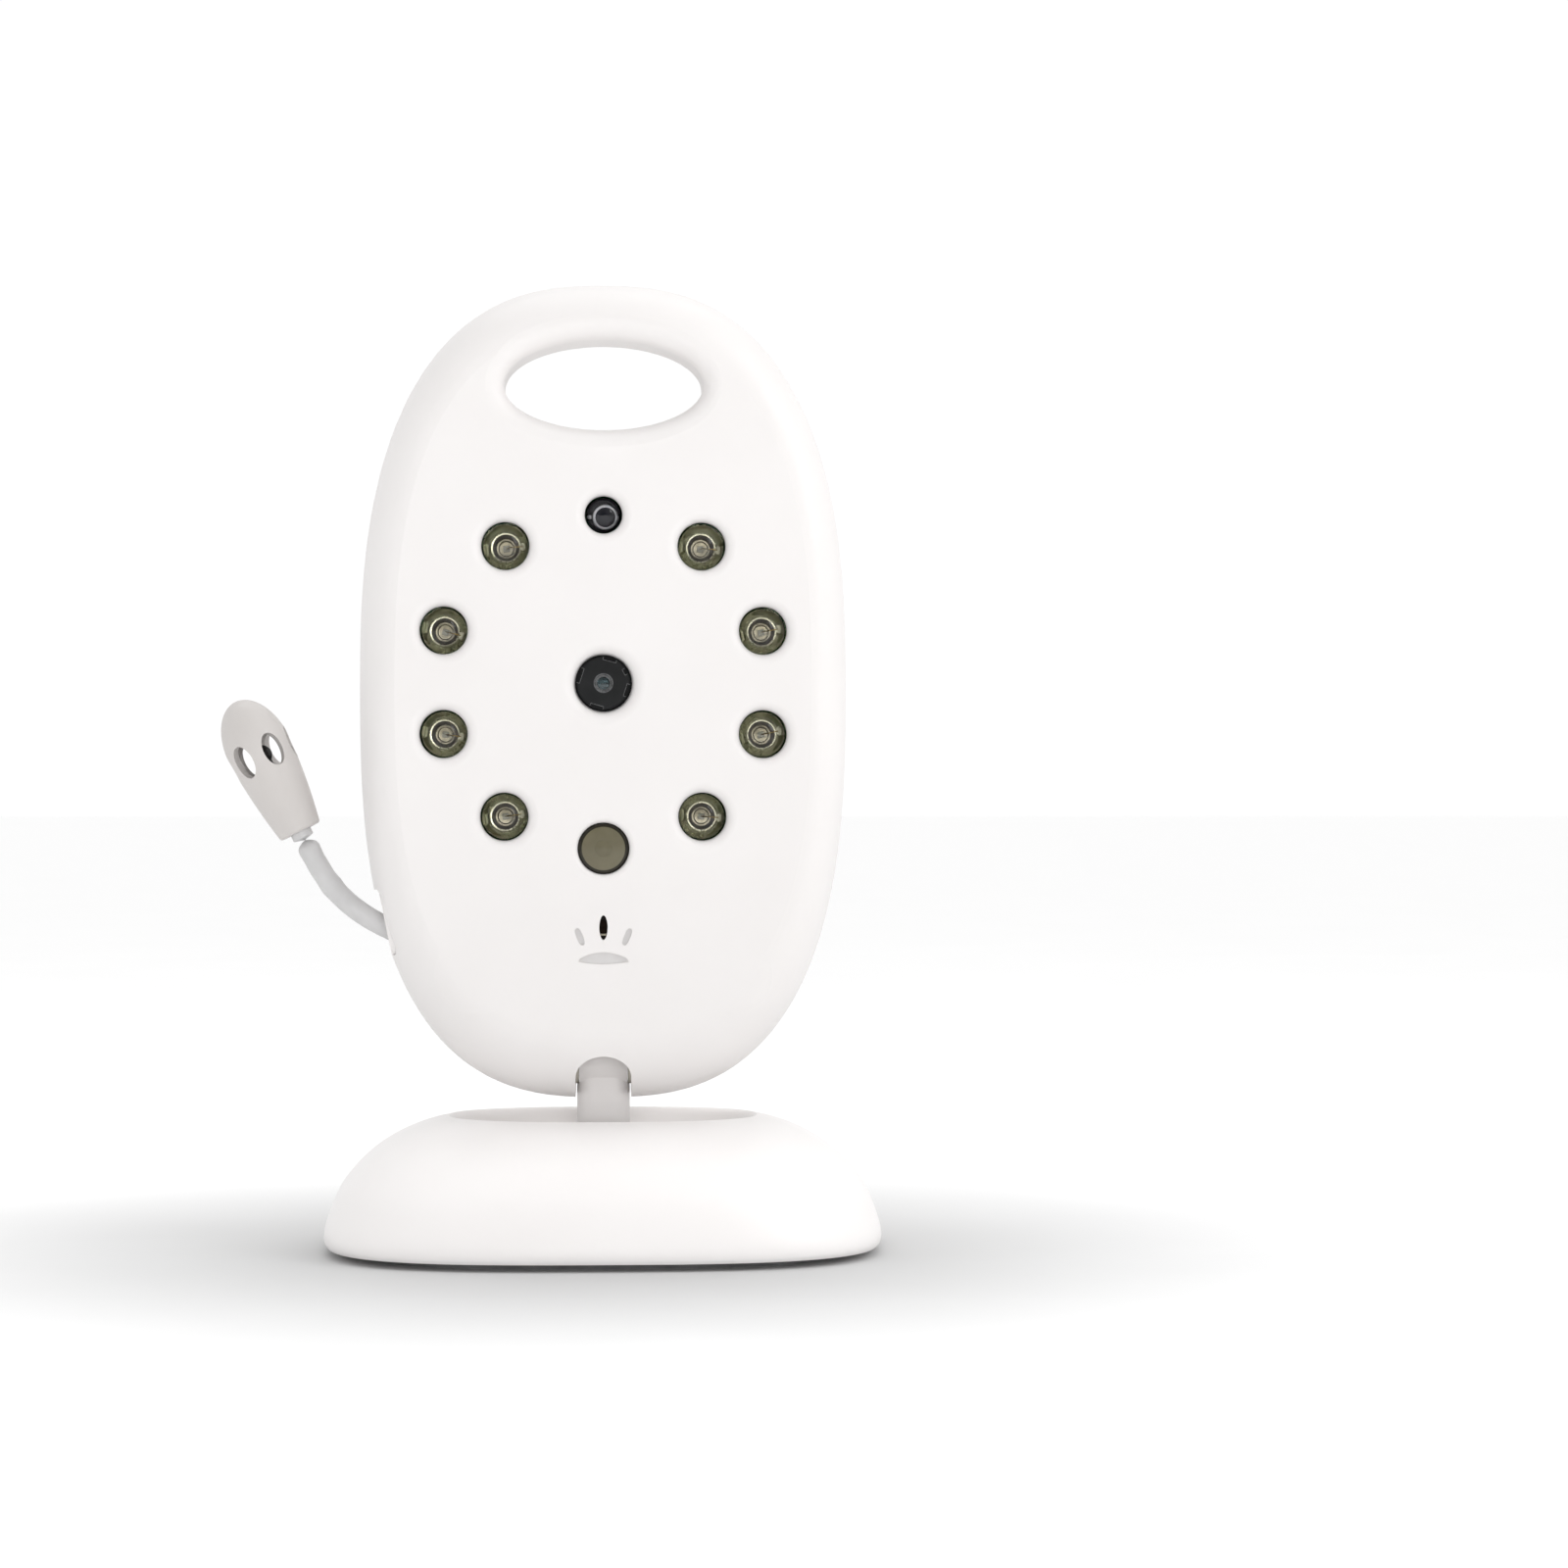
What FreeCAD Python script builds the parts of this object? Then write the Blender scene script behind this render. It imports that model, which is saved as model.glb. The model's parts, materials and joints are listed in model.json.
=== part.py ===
"""Baby monitor camera: an oval head with a handle hole, tilting on a stem that turns in an oval base.

Frame: millimetres, +Z up, front towards -Y, origin at the middle of the underside of the base.
The swivel turns about Z, the head tilts about an X axis through the knuckle, and the pairing
button slides along -Y. Every separate piece is written to parts/NAME.step.
"""
import FreeCAD, Part
import math
import os

V = FreeCAD.Vector
X_AXIS, Y_AXIS, Z_AXIS = V(1, 0, 0), V(0, 1, 0), V(0, 0, 1)
SIDES = {"left": -1, "right": 1}

# ---- head outline, in the XZ plane -------------------------------------------------
HEAD_Z = 63.0                 # height of the widest line
HEAD_HALF_WIDTH = 27.1
HEAD_UP, UP_POWER = 44.7, 2.55
HEAD_DOWN, DOWN_POWER = 45.9, 2.7
PARTING_Y = -3.5              # plane where the two shells meet, and the widest section
SEAM_HALF, SEAM_DEPTH = 0.12, 0.25        # fine groove where they meet
FRONT_Y = -11.0               # flat front face
BACK_Y = 13.0                 # flat back face
WALL = 1.8
FRONT_EDGE = {"side": 4.2, "up": 5.5, "down": 7.5}
BACK_EDGE = {"side": 11.0, "up": 14.0, "down": 14.0}
SHOULDER, SHOULDER_POWER = 24.0, 5    # how far the back steps forward above the belly
CAVITY_TOP = 87.5
INNER_FRONT_Y = FRONT_Y + WALL
INNER_BACK_Y = BACK_Y - WALL

# ---- handle hole -------------------------------------------------------------------
HANDLE_Z = 96.1
HANDLE_HALF = (11.0, 4.95)
HANDLE_LIP = 2.0

# ---- openings in the front face ----------------------------------------------------
LED_PLACES = [(10.8, 78.3), (17.57, 69.0), (17.57, 57.6), (10.9, 48.5)]
LED_HOLE, LED_LIP = 2.65, 1.15
LENS_Z, LENS_HOLE, LENS_LIP = 63.2, 3.125, 1.5
SENSOR_Z, SENSOR_HOLE, SENSOR_LIP = 81.75, 2.07, 1.1
WINDOW_Z, WINDOW_HOLE, WINDOW_LIP = 45.0, 2.85, 0.65
MIC_Z, MIC_SLIT = 36.3, (0.46, 1.36)
ARC_Z, ARC_HALF, ARC_UP, ARC_DOWN, ARC_POWER, ARC_DEPTH = 32.67, 2.75, 0.96, 0.4, 1.6, 0.35
RAY_PLACE, RAY_HALF, RAY_POWER, RAY_TILT, RAY_DEPTH = (2.6, 35.3), (0.35, 0.98), 2.8, 22.0, 0.35

# ---- tilt knuckle and the notch round it ---------------------------------------------
PIVOT_Z = 22.0
KNUCKLE_R, KNUCKLE_HALF = 4.0, 2.7
POST_HALF, POST_CORNER = (2.95, 2.9), 1.9         # half sizes in X and Y
NOTCH_HALF, NOTCH_GAP = 3.1, 0.35
NOTCH_TOP, NOTCH_SPRING, MOUTH_HALF = 22.1, 19.7, 3.08
TILT_LIMIT = 45.0
CHEEK, POCKET_TOP = 2.0, 27.9
TILT_BORE, TILT_SHAFT, TILT_HEAD_R = 1.3, 1.25, 2.3
WASHER_R, WASHER_T = 3.6, 0.35

# ---- base ----------------------------------------------------------------------------
BASE_HALF = (31.0, 24.5)
BASE_POWER, RIM_POWER = 3.0, 2.4
PAD_T = 0.8
BASE_CURVE_Z, BASE_CURVE = 1.3, (17.8, 14.0)      # centre height and semi-axes of the side's curve
RIM_ANGLE = 76.5
DISH_FLOOR = 12.4
DISH_STEPS = [(-0.1, 15.0), (0.3, 14.8), (0.7, 14.35), (0.95, 13.7), (1.35, 13.0), (2.2, 12.52),
              (3.4, DISH_FLOOR)]
BASE_WALL = 1.8
HUB_R, HUB_TOP = 7.4, 13.1
SPIGOT_R, SWIVEL_BORE = 4.5, 4.55
BEARING_R, BEARING_BOTTOM = 6.6, 7.6
SEAT_GAP = 0.05
PLATE_T = 1.8
PLATE_HALF = (28.5, 22.0)
WEIGHT_HALF, WEIGHT_T, WEIGHT_BORE_R, WEIGHT_GAP = (24.5, 18.0), 2.6, 8.1, 0.6
KEYHOLE_X, KEYHOLE_SLOT, KEYHOLE_HALF, KEYHOLE_ENTRY = 18.0, 14.0, 2.1, 4.2
KEYHOLE_ROOM_CORNER, PAD_INSET = 4.0, 1.0
BASE_SCREWS = [(0.0, 16.0), (-20.0, -11.0), (20.0, -11.0)]
BASE_BOSS_R, BASE_BOSS_TOP, BASE_SCREW_TIP, BASE_SCREW_SEAT = 3.0, 10.0, 8.8, 1.0

# ---- boards and what stands on them --------------------------------------------------
LED_BOARD_Y, LED_BOARD_T = -1.7, 1.6
LIGHT_SENSOR_R, LIGHT_SENSOR_FLANGE_R = 1.95, 2.37
LED_BOARD = (22.6, 23.6, 24.4)                    # half width, reach up, reach down
LED_R, LED_FLANGE_R, LED_FLANGE_T, LED_TIP_Y = 2.5, 2.9, 1.0, -10.3
MAIN_BOARD_Y, MAIN_BOARD_T = 2.6, 1.2
MAIN_BOARD = (18.0, 36.0, 78.0)                   # half width, lowest and highest Z
LENS_OPENING_R = 7.0
STAKES_FRONT = [(12.0, 42.0), (7.5, 84.2)]
STAKES_BACK = [(15.6, 66.0), (15.6, 44.0)]
STAKE_R, STAKE_PIN_R = 1.6, 0.9
SHELL_SCREWS_LOW, SHELL_SCREWS_HIGH = (14.5, 31.0), (18.5, 89.5)
SCREW_R, SCREW_HEAD_R, SCREW_HEAD_T = 1.2, 2.5, 1.8

# ---- back face -----------------------------------------------------------------------
SPEAKER_Z, SPEAKER_R, SPEAKER_T = 57.0, 10.0, 4.4
GRILLE_RINGS = [(0.0, 1), (2.8, 6), (5.6, 12)]
GRILLE_R = 0.75
JACK_X, JACK_Z = -8.6, 40.5
JACK_HALF, JACK_MOUTH_R, JACK_BORE_R, JACK_PIN_R = 3.6, 3.1, 1.75, 0.65
BUTTON_X, BUTTON_Z, BUTTON_R, BUTTON_HOLE_R = 8.6, 40.5, 2.9, 3.2
BUTTON_TRAVEL = 0.8

# ---- temperature probe ---------------------------------------------------------------
PROBE_Y = PARTING_Y           # the lead is clamped between the two shells
LEAD_START = V(-24.5, PROBE_Y, 36.3)
LEAD_MIDDLE = V(-30.1, PROBE_Y, 40.6)
LEAD_END = V(-33.7, PROBE_Y, 46.8)
LEAD_WAY = V(-0.895, 0, 0.446)                    # direction in which it leaves the head
LEAD_R, LEAD_TAIL, LEAD_TIP = 1.2, 3.4, 1.0       # straight ends, inside the head and the capsule
CAPSULE_TIP = V(-40.95, PROBE_Y, 61.24)
CAPSULE_LENGTH, CAPSULE_R, CAPSULE_NECK_R, CAPSULE_WIDEST = 16.15, 3.65, 2.4, 10.3
CAPSULE_WALL, CAPSULE_FLOOR, CAPSULE_FOOT_EDGE, CAPSULE_BELLY = 0.9, 1.6, 0.35, 0.66
VENT_HALF, VENT_AT, VENT_COUNT, VENT_TURN = (1.15, 1.9), 9.5, 6, 27.5
COLLAR_FACE, COLLAR_HALF = V(-24.1, PROBE_Y, 36.8), (4.2, 3.7)
COLLAR_DEPTH, COLLAR_LEAN, COLLAR_CORNER = 2.8, -11.5, 1.2
COLLAR_OUTWARD = 3.0          # how far the cut for it reaches past its face


# ---- general shapes ------------------------------------------------------------------
def joined(shape, tools):
    for tool in tools:
        shape = shape.fuse(tool)
    return shape


def carved(shape, tools):
    for tool in tools:
        shape = shape.cut(tool)
    return shape


def cylinder(radius, start, end):
    way = end - start
    return Part.makeCylinder(radius, way.Length, start, way)


def along_y(radius, x, z, y_low, y_high):
    return cylinder(radius, V(x, y_low, z), V(x, y_high, z))


def along_z(radius, x, y, z_low, z_high):
    return cylinder(radius, V(x, y, z_low), V(x, y, z_high))


def block(low, high):
    return Part.makeBox(high[0] - low[0], high[1] - low[1], high[2] - low[2], V(*low))


def rounded_block(low, high, radius, axis):
    """A block whose four edges along one axis are rounded."""
    solid = block(low, high)
    edges = [e for e in solid.Edges if abs(e.tangentAt(e.FirstParameter).dot(axis)) > 0.99]
    return solid.makeFillet(radius, edges)


def superellipse(place, half_x, up, down, power_up, power_down, count=56):
    """Closed smooth wire of a superellipse whose two halves may differ; place maps (x, y) to a point."""
    points = []
    for i in range(count):
        angle = 2 * math.pi * i / count
        c, s = math.cos(angle), math.sin(angle)
        reach, power = (up, power_up) if s >= 0 else (down, power_down)
        radius = (abs(c / half_x) ** power + abs(s / reach) ** power) ** (-1 / power)
        points.append(place(radius * c, radius * s))
    curve = Part.BSplineCurve()
    curve.interpolate(points, PeriodicFlag=True)
    return Part.Wire([curve.toShape()])


def ellipse_prism(half_x, half_z, x, z, y_low, y_high, turn=0.0, power=2.0, down=None):
    """Elliptic prism along Y, turned in the XZ plane by turn degrees. Its lower half may be less
    deep than its upper, and a power above or below 2 gives it blunter or sharper ends."""
    wire = superellipse(lambda u, v: V(u, 0, v), half_x, half_z, down or half_z, power, power)
    solid = Part.Face(wire).extrude(V(0, y_high - y_low, 0))
    solid.rotate(V(), Y_AXIS, turn)
    solid.translate(V(x, y_low, z))
    return solid


def lipped_hole(radius, lip, x, z, depth):
    """Cutter for a hole in the front face, with a rounded lip."""
    middle = lip * (1 - math.sqrt(0.5))
    arc = Part.Arc(V(radius + lip, 0, 0), V(radius + middle, 0, middle), V(radius, 0, lip))
    corners = [V(radius, 0, lip), V(radius, 0, depth), V(0, 0, depth), V(0, 0, -1),
               V(radius + lip, 0, -1), V(radius + lip, 0, 0)]
    edges = [arc.toShape()] + [Part.makeLine(a, b) for a, b in zip(corners, corners[1:])]
    solid = Part.Face(Part.Wire(edges)).revolve(V(), Z_AXIS, 360)
    solid.Placement = FreeCAD.Placement(V(x, FRONT_Y, z), FreeCAD.Rotation(Z_AXIS, Y_AXIS))
    return solid


def mirrored(places):
    return [(side * x, z) for x, z in places for side in (1, -1)]


# ---- head shells ---------------------------------------------------------------------
def head_section(y, side, up, down, wall):
    return superellipse(lambda u, v: V(u, y, HEAD_Z + v), HEAD_HALF_WIDTH - wall - side,
                        HEAD_UP - wall - up, HEAD_DOWN - wall - down, UP_POWER, DOWN_POWER)


def head_half(face_y, edge, shoulder, wall):
    """Solid from the parting plane to a flat face, its edge rounded by a quarter ellipse."""
    steps = 9
    depth = face_y - PARTING_Y
    depth -= math.copysign(wall, depth)
    sections = []
    for i in range(steps + 1):
        part = math.sin(math.pi / 2 * i / steps)
        fall = 1 - math.sqrt(max(0.0, 1 - part ** 2))
        step = shoulder * (1 - (1 - part ** 2) ** SHOULDER_POWER)
        sections.append(head_section(PARTING_Y + depth * part, edge["side"] * fall,
                                     edge["up"] * fall + step, edge["down"] * fall, wall))
    return Part.makeLoft(sections, True, False, False)


def front_half(wall):
    return head_half(FRONT_Y, FRONT_EDGE, 0.0, wall)


def back_half(wall):
    return head_half(BACK_Y, BACK_EDGE, SHOULDER, wall)


def handle_wire(y):
    return superellipse(lambda u, v: V(u, y, HANDLE_Z + v), HANDLE_HALF[0], HANDLE_HALF[1],
                        HANDLE_HALF[1], 2, 2)


def with_handle(half):
    """Half a head with the handle hole through it, the hole's rim rounded where it meets the face."""
    half = half.cut(Part.Face(handle_wire(FRONT_Y - 5)).extrude(V(0, 40, 0)))
    margin = 3.0

    def is_rim(edge):
        box = edge.BoundBox
        near = abs(box.Center.z - HANDLE_Z) < margin and abs(box.XLength - 2 * HANDLE_HALF[0]) < margin
        return near and abs(box.Center.y - PARTING_Y) > 1
    return half.makeFillet(HANDLE_LIP, [edge for edge in half.Edges if is_rim(edge)])


def seam_groove():
    wide = Part.Face(head_section(PARTING_Y - SEAM_HALF, 0, 0, 0, -1))
    core = Part.Face(head_section(PARTING_Y - SEAM_HALF, 0, 0, 0, SEAM_DEPTH))
    width = V(0, 2 * SEAM_HALF, 0)
    return wide.extrude(width).cut(core.extrude(width))


def notch():
    """Cutters for what the stem sweeps in the head: a round room for the knuckle, a fan for the
    post, and the arched mouth in the front."""
    half, reach = POST_HALF[1] + NOTCH_GAP, 20.0
    limit = math.radians(TILT_LIMIT)
    side = (half * math.cos(limit), half * math.sin(limit))
    tip = (side[0] + reach * math.sin(limit), side[1] - reach * math.cos(limit))
    outline = [(-side[0], side[1]), (-tip[0], tip[1]), (tip[0], tip[1]), side]
    points = [V(-NOTCH_HALF, y, PIVOT_Z + z) for y, z in outline]
    fan = Part.Face(Part.makePolygon(points + points[:1])).extrude(V(2 * NOTCH_HALF, 0, 0))
    room = cylinder(KNUCKLE_R + NOTCH_GAP, V(-NOTCH_HALF, 0, PIVOT_Z), V(NOTCH_HALF, 0, PIVOT_Z))
    middle = V(0, FRONT_Y - 2, NOTCH_SPRING)
    arch = Part.Ellipse(middle + V(MOUTH_HALF, 0, 0), middle + V(0, 0, NOTCH_TOP - NOTCH_SPRING), middle)
    over = Part.ArcOfEllipse(arch, 0, math.pi).toShape()
    corners = [over.Vertexes[0].Point, over.Vertexes[-1].Point]
    feet = [V(corner.x, corner.y, 0) for corner in corners]
    jambs = Part.makePolygon([corners[0], *feet, corners[1]])
    mouth = Part.Face(Part.Wire([over, *jambs.Edges])).extrude(V(0, PARTING_Y - middle.y, 0))
    return [fan, room, mouth]


def pocket_block(y_low, y_high):
    half = NOTCH_HALF + CHEEK
    return block((-half, y_low, 0), (half, y_high, POCKET_TOP))


def cavity(half):
    return half.cut(block((-80, -80, CAVITY_TOP), (80, 80, 140)))


def stakes(places, shoulder_y, foot_y, pin_y):
    """Posts that carry a board, each with a thinner pin through it."""
    posts = []
    for x, z in mirrored(places):
        posts.append(along_y(STAKE_R, x, z, *sorted((foot_y, shoulder_y))))
        posts.append(along_y(STAKE_PIN_R, x, z, *sorted((shoulder_y, pin_y))))
    return posts


SHELL_BOSS_R, SCREW_SEAT_LOW, SCREW_SEAT_HIGH, SCREW_TIP = 4.1, 5.5, -1.6, -8.6
SCREW_WELL_GAP, TILT_WELL_GAP, TILT_WELL = 0.3, 0.6, 3.2
MIC_RING_R, MIC_RING_WALL, MIC_RING_Y = 4.05, 0.75, -6.4


def front_shell():
    outer = front_half(0)
    shell = with_handle(outer).cut(cavity(front_half(WALL)))
    inside = [outer.common(pocket_block(FRONT_Y, PARTING_Y))]
    inside += [outer.common(along_y(SHELL_BOSS_R, x, z, FRONT_Y, PARTING_Y))
               for x, z in mirrored([SHELL_SCREWS_LOW])]
    ring = along_y(MIC_RING_R + MIC_RING_WALL, 0, MIC_Z, INNER_FRONT_Y - 0.5, MIC_RING_Y)
    inside.append(ring.cut(along_y(MIC_RING_R, 0, MIC_Z, INNER_FRONT_Y, MIC_RING_Y)))
    inside += stakes(STAKES_FRONT, LED_BOARD_Y, INNER_FRONT_Y - 0.5, LED_BOARD_Y + LED_BOARD_T + 0.4)
    cuts = notch() + [seam_groove(), collar_block(SEAT_GAP, COLLAR_OUTWARD)]
    cuts += [lipped_hole(LED_HOLE, LED_LIP, x, z, 2 * WALL) for x, z in mirrored(LED_PLACES)]
    cuts.append(lipped_hole(LENS_HOLE, LENS_LIP, 0, LENS_Z, 2 * WALL))
    cuts.append(lipped_hole(SENSOR_HOLE, SENSOR_LIP, 0, SENSOR_Z, 2 * WALL))
    cuts.append(lipped_hole(WINDOW_HOLE, WINDOW_LIP, 0, WINDOW_Z, 2 * WALL))
    cuts.append(ellipse_prism(*MIC_SLIT, 0, MIC_Z, FRONT_Y - 1, INNER_FRONT_Y + 1))
    cuts += mic_marks()
    cuts += [along_y(SCREW_R - 0.1, x, z, SCREW_TIP - 0.2, PARTING_Y + 1)
             for x, z in mirrored([SHELL_SCREWS_LOW, SHELL_SCREWS_HIGH])]
    return carved(joined(shell, inside), cuts)


def mic_marks():
    """Shallow decorative recesses round the microphone slit: an arc below and a ray each side."""
    x, z = RAY_PLACE
    arc = ellipse_prism(ARC_HALF, ARC_UP, 0, ARC_Z, FRONT_Y - 1, FRONT_Y + ARC_DEPTH,
                        power=ARC_POWER, down=ARC_DOWN)
    rays = [ellipse_prism(*RAY_HALF, side * x, z, FRONT_Y - 1, FRONT_Y + RAY_DEPTH, side * RAY_TILT,
                          RAY_POWER) for side in SIDES.values()]
    return [arc] + rays


def back_shell():
    outer = back_half(0)
    shell = with_handle(outer).cut(cavity(back_half(WALL)))
    inside = [outer.common(pocket_block(PARTING_Y, BACK_Y))]
    inside += [outer.common(along_y(SHELL_BOSS_R, x, z, PARTING_Y, BACK_Y))
               for x, z in mirrored([SHELL_SCREWS_LOW])]
    inside += [outer.common(post) for post in
               stakes(STAKES_BACK, MAIN_BOARD_Y + MAIN_BOARD_T, BACK_Y, MAIN_BOARD_Y - 0.4)]
    cuts = notch() + [seam_groove(), collar_block(SEAT_GAP, COLLAR_OUTWARD)]
    cuts += [along_y(SCREW_R + 0.1, x, z, PARTING_Y - 1, BACK_Y)
             for x, z in mirrored([SHELL_SCREWS_LOW, SHELL_SCREWS_HIGH])]
    cuts += [along_y(SCREW_HEAD_R + SCREW_WELL_GAP, x, z, seat, BACK_Y + 1)
             for places, seat in ((SHELL_SCREWS_LOW, SCREW_SEAT_LOW), (SHELL_SCREWS_HIGH, SCREW_SEAT_HIGH))
             for x, z in mirrored([places])]
    cuts.append(cylinder(TILT_BORE, V(-8, 0, PIVOT_Z), V(8, 0, PIVOT_Z)))
    cheek = NOTCH_HALF + CHEEK
    cuts += [cylinder(TILT_HEAD_R + TILT_WELL_GAP, V(side * cheek, 0, PIVOT_Z),
                      V(side * (cheek + TILT_WELL), 0, PIVOT_Z)) for side in SIDES.values()]
    for radius, count in GRILLE_RINGS:
        for i in range(count):
            angle = 2 * math.pi * i / count
            cuts.append(along_y(GRILLE_R, radius * math.cos(angle), SPEAKER_Z + radius * math.sin(angle),
                                INNER_BACK_Y - 1, BACK_Y + 1))
    cuts.append(along_y(JACK_MOUTH_R, JACK_X, JACK_Z, INNER_BACK_Y - 1, BACK_Y + 1))
    cuts.append(along_y(BUTTON_HOLE_R, BUTTON_X, BUTTON_Z, INNER_BACK_Y - 1, BACK_Y + 1))
    return carved(joined(shell, inside), cuts)


RECESS_DEPTH, RECESS_SHARE, RECESS_HALF = 0.8, 0.62, 0.3        # cross in a screw's head


def screw(seat, tip, head_top, radius=SCREW_R, head_r=SCREW_HEAD_R):
    """Pan-head screw with a cross recess; seat, tip and head_top are points on its axis."""
    body = cylinder(radius, tip, seat).fuse(cylinder(head_r, seat, head_top))
    way = (head_top - seat).normalize()
    side = way.cross(X_AXIS) if abs(way.dot(X_AXIS)) < 0.9 else way.cross(Z_AXIS)
    depth, arm, half = RECESS_DEPTH, RECESS_SHARE * head_r, RECESS_HALF
    for turn in (0, 90):
        bar = Part.makeBox(2 * arm, 2 * half, 2 * depth, V(-arm, -half, -depth))
        spin = FreeCAD.Rotation(Z_AXIS, turn)
        facing = FreeCAD.Rotation(side, way.cross(side), way, "XYZ")
        bar.Placement = FreeCAD.Placement(head_top, facing.multiply(spin))
        body = body.cut(bar)
    return body


# ---- light, lens and sensor pieces ---------------------------------------------------
def led(radius, flange_r, x, z, tip_y, seat_y):
    """Domed round LED body standing on its flange."""
    profile = [V(0, 0, 0), V(flange_r, 0, 0), V(flange_r, 0, LED_FLANGE_T), V(radius, 0, LED_FLANGE_T)]
    height = seat_y - tip_y
    dome_start = V(radius, 0, height - radius)
    edges = [Part.makeLine(a, b) for a, b in zip(profile + [dome_start], profile[1:] + [dome_start])
             if a.distanceToPoint(b) > 0]
    crown = radius * math.sqrt(0.5)
    edges.append(Part.Arc(dome_start, V(crown, 0, height - radius + crown), V(0, 0, height)).toShape())
    edges.append(Part.makeLine(V(0, 0, height), V(0, 0, 0)))
    solid = Part.Face(Part.Wire(edges)).revolve(V(), Z_AXIS, 360)
    solid.Placement = FreeCAD.Placement(V(x, seat_y, z), FreeCAD.Rotation(Z_AXIS, -Y_AXIS))
    return solid


LENS_FRONT_R, LENS_BODY_R, LENS_FRONT_Y, LENS_STEP_Y, LENS_BACK_Y = 2.85, 3.45, -10.4, -8.9, 0.3
LENS_NOTCHES = [(162, 1.7), (75, 1.5), (28, 0.7), (-17, 1.4), (-106, 1.5)]    # place in degrees, width
LENS_NOTCH_FLOOR, LENS_NOTCH_DEPTH = 2.5, 1.0
LENS_MOUTH_R, LENS_MOUTH_EDGE, LENS_LIP_BACK_Y = 0.9, 0.14, -9.8
GLASS_R, GLASS_DOME_R, GLASS_TIP_Y, GLASS_BACK_Y = 1.28, 3.0, -9.9, -7.6
LENS_BORE_R = 1.3
HOLDER_R, HOLDER_FRONT_Y, HOLDER_FOOT, HOLDER_CORNER = 5.0, -4.6, (6.0, 1.4), 1.0
SENSOR_HALF, SENSOR_T, SENSOR_ROOM = 3.0, 0.9, 0.4


def lens_barrel():
    """Stepped barrel with spanner notches round its front, and a lip that holds the glass."""
    body = along_y(LENS_BODY_R, 0, LENS_Z, LENS_STEP_Y, LENS_BACK_Y)
    body = body.fuse(along_y(LENS_FRONT_R, 0, LENS_Z, LENS_FRONT_Y, LENS_STEP_Y))
    mouth = V(0, LENS_FRONT_Y, LENS_Z)
    cuts = [along_y(LENS_MOUTH_R, 0, LENS_Z, LENS_FRONT_Y - 1, LENS_BACK_Y),
            along_y(LENS_BORE_R, 0, LENS_Z, LENS_LIP_BACK_Y, LENS_BACK_Y + 1),
            Part.makeCone(LENS_MOUTH_R + LENS_MOUTH_EDGE, LENS_MOUTH_R, LENS_MOUTH_EDGE, mouth, Y_AXIS)]
    for place, width in LENS_NOTCHES:
        bar = block((LENS_NOTCH_FLOOR, LENS_FRONT_Y - 1, -width / 2),
                    (LENS_BODY_R, LENS_FRONT_Y + LENS_NOTCH_DEPTH, width / 2))
        bar.rotate(V(), Y_AXIS, -place)
        bar.translate(V(0, 0, LENS_Z))
        cuts.append(bar)
    return carved(body, cuts)


def lens_glass():
    dome = Part.makeSphere(GLASS_DOME_R, V(0, GLASS_TIP_Y + GLASS_DOME_R, LENS_Z))
    return along_y(GLASS_R, 0, LENS_Z, GLASS_TIP_Y - 1, GLASS_BACK_Y).common(dome)


def lens_holder():
    foot, foot_t = HOLDER_FOOT
    low, high = (-foot, MAIN_BOARD_Y - foot_t, LENS_Z - foot), (foot, MAIN_BOARD_Y, LENS_Z + foot)
    tower = along_y(HOLDER_R, 0, LENS_Z, HOLDER_FRONT_Y, MAIN_BOARD_Y)
    body = tower.fuse(rounded_block(low, high, HOLDER_CORNER, Y_AXIS))
    room = SENSOR_HALF + SENSOR_ROOM
    window = block((-room, LENS_BACK_Y + 0.5, LENS_Z - room), (room, MAIN_BOARD_Y, LENS_Z + room))
    return body.cut([window, along_y(LENS_BODY_R + 0.03, 0, LENS_Z, HOLDER_FRONT_Y, LENS_BACK_Y + 1)])


def image_sensor():
    half = SENSOR_HALF
    return block((-half, MAIN_BOARD_Y - SENSOR_T, LENS_Z - half), (half, MAIN_BOARD_Y, LENS_Z + half))


WINDOW_R, WINDOW_TIP_Y, WINDOW_DOME_R, WINDOW_EDGE = 2.8, -10.75, 14.0, 0.38
WINDOW_EYE_R, WINDOW_EYE_RISE = 0.93, 0.22
WINDOW_FLANGE_R, WINDOW_FLANGE_T, WINDOW_TAIL_R, WINDOW_TAIL_GAP = 3.7, 0.9, 1.4, 1.2
STATUS_LED_HALF, STATUS_LED_T = (0.8, 0.5), 0.8
MIC_CAN_R, MIC_CAN_FRONT_Y, MIC_CAN_BACK_Y = 3.0, -8.4, -5.9
MIC_PORT_R, BOOT_BACK_Y = 0.8, -5.7


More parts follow.
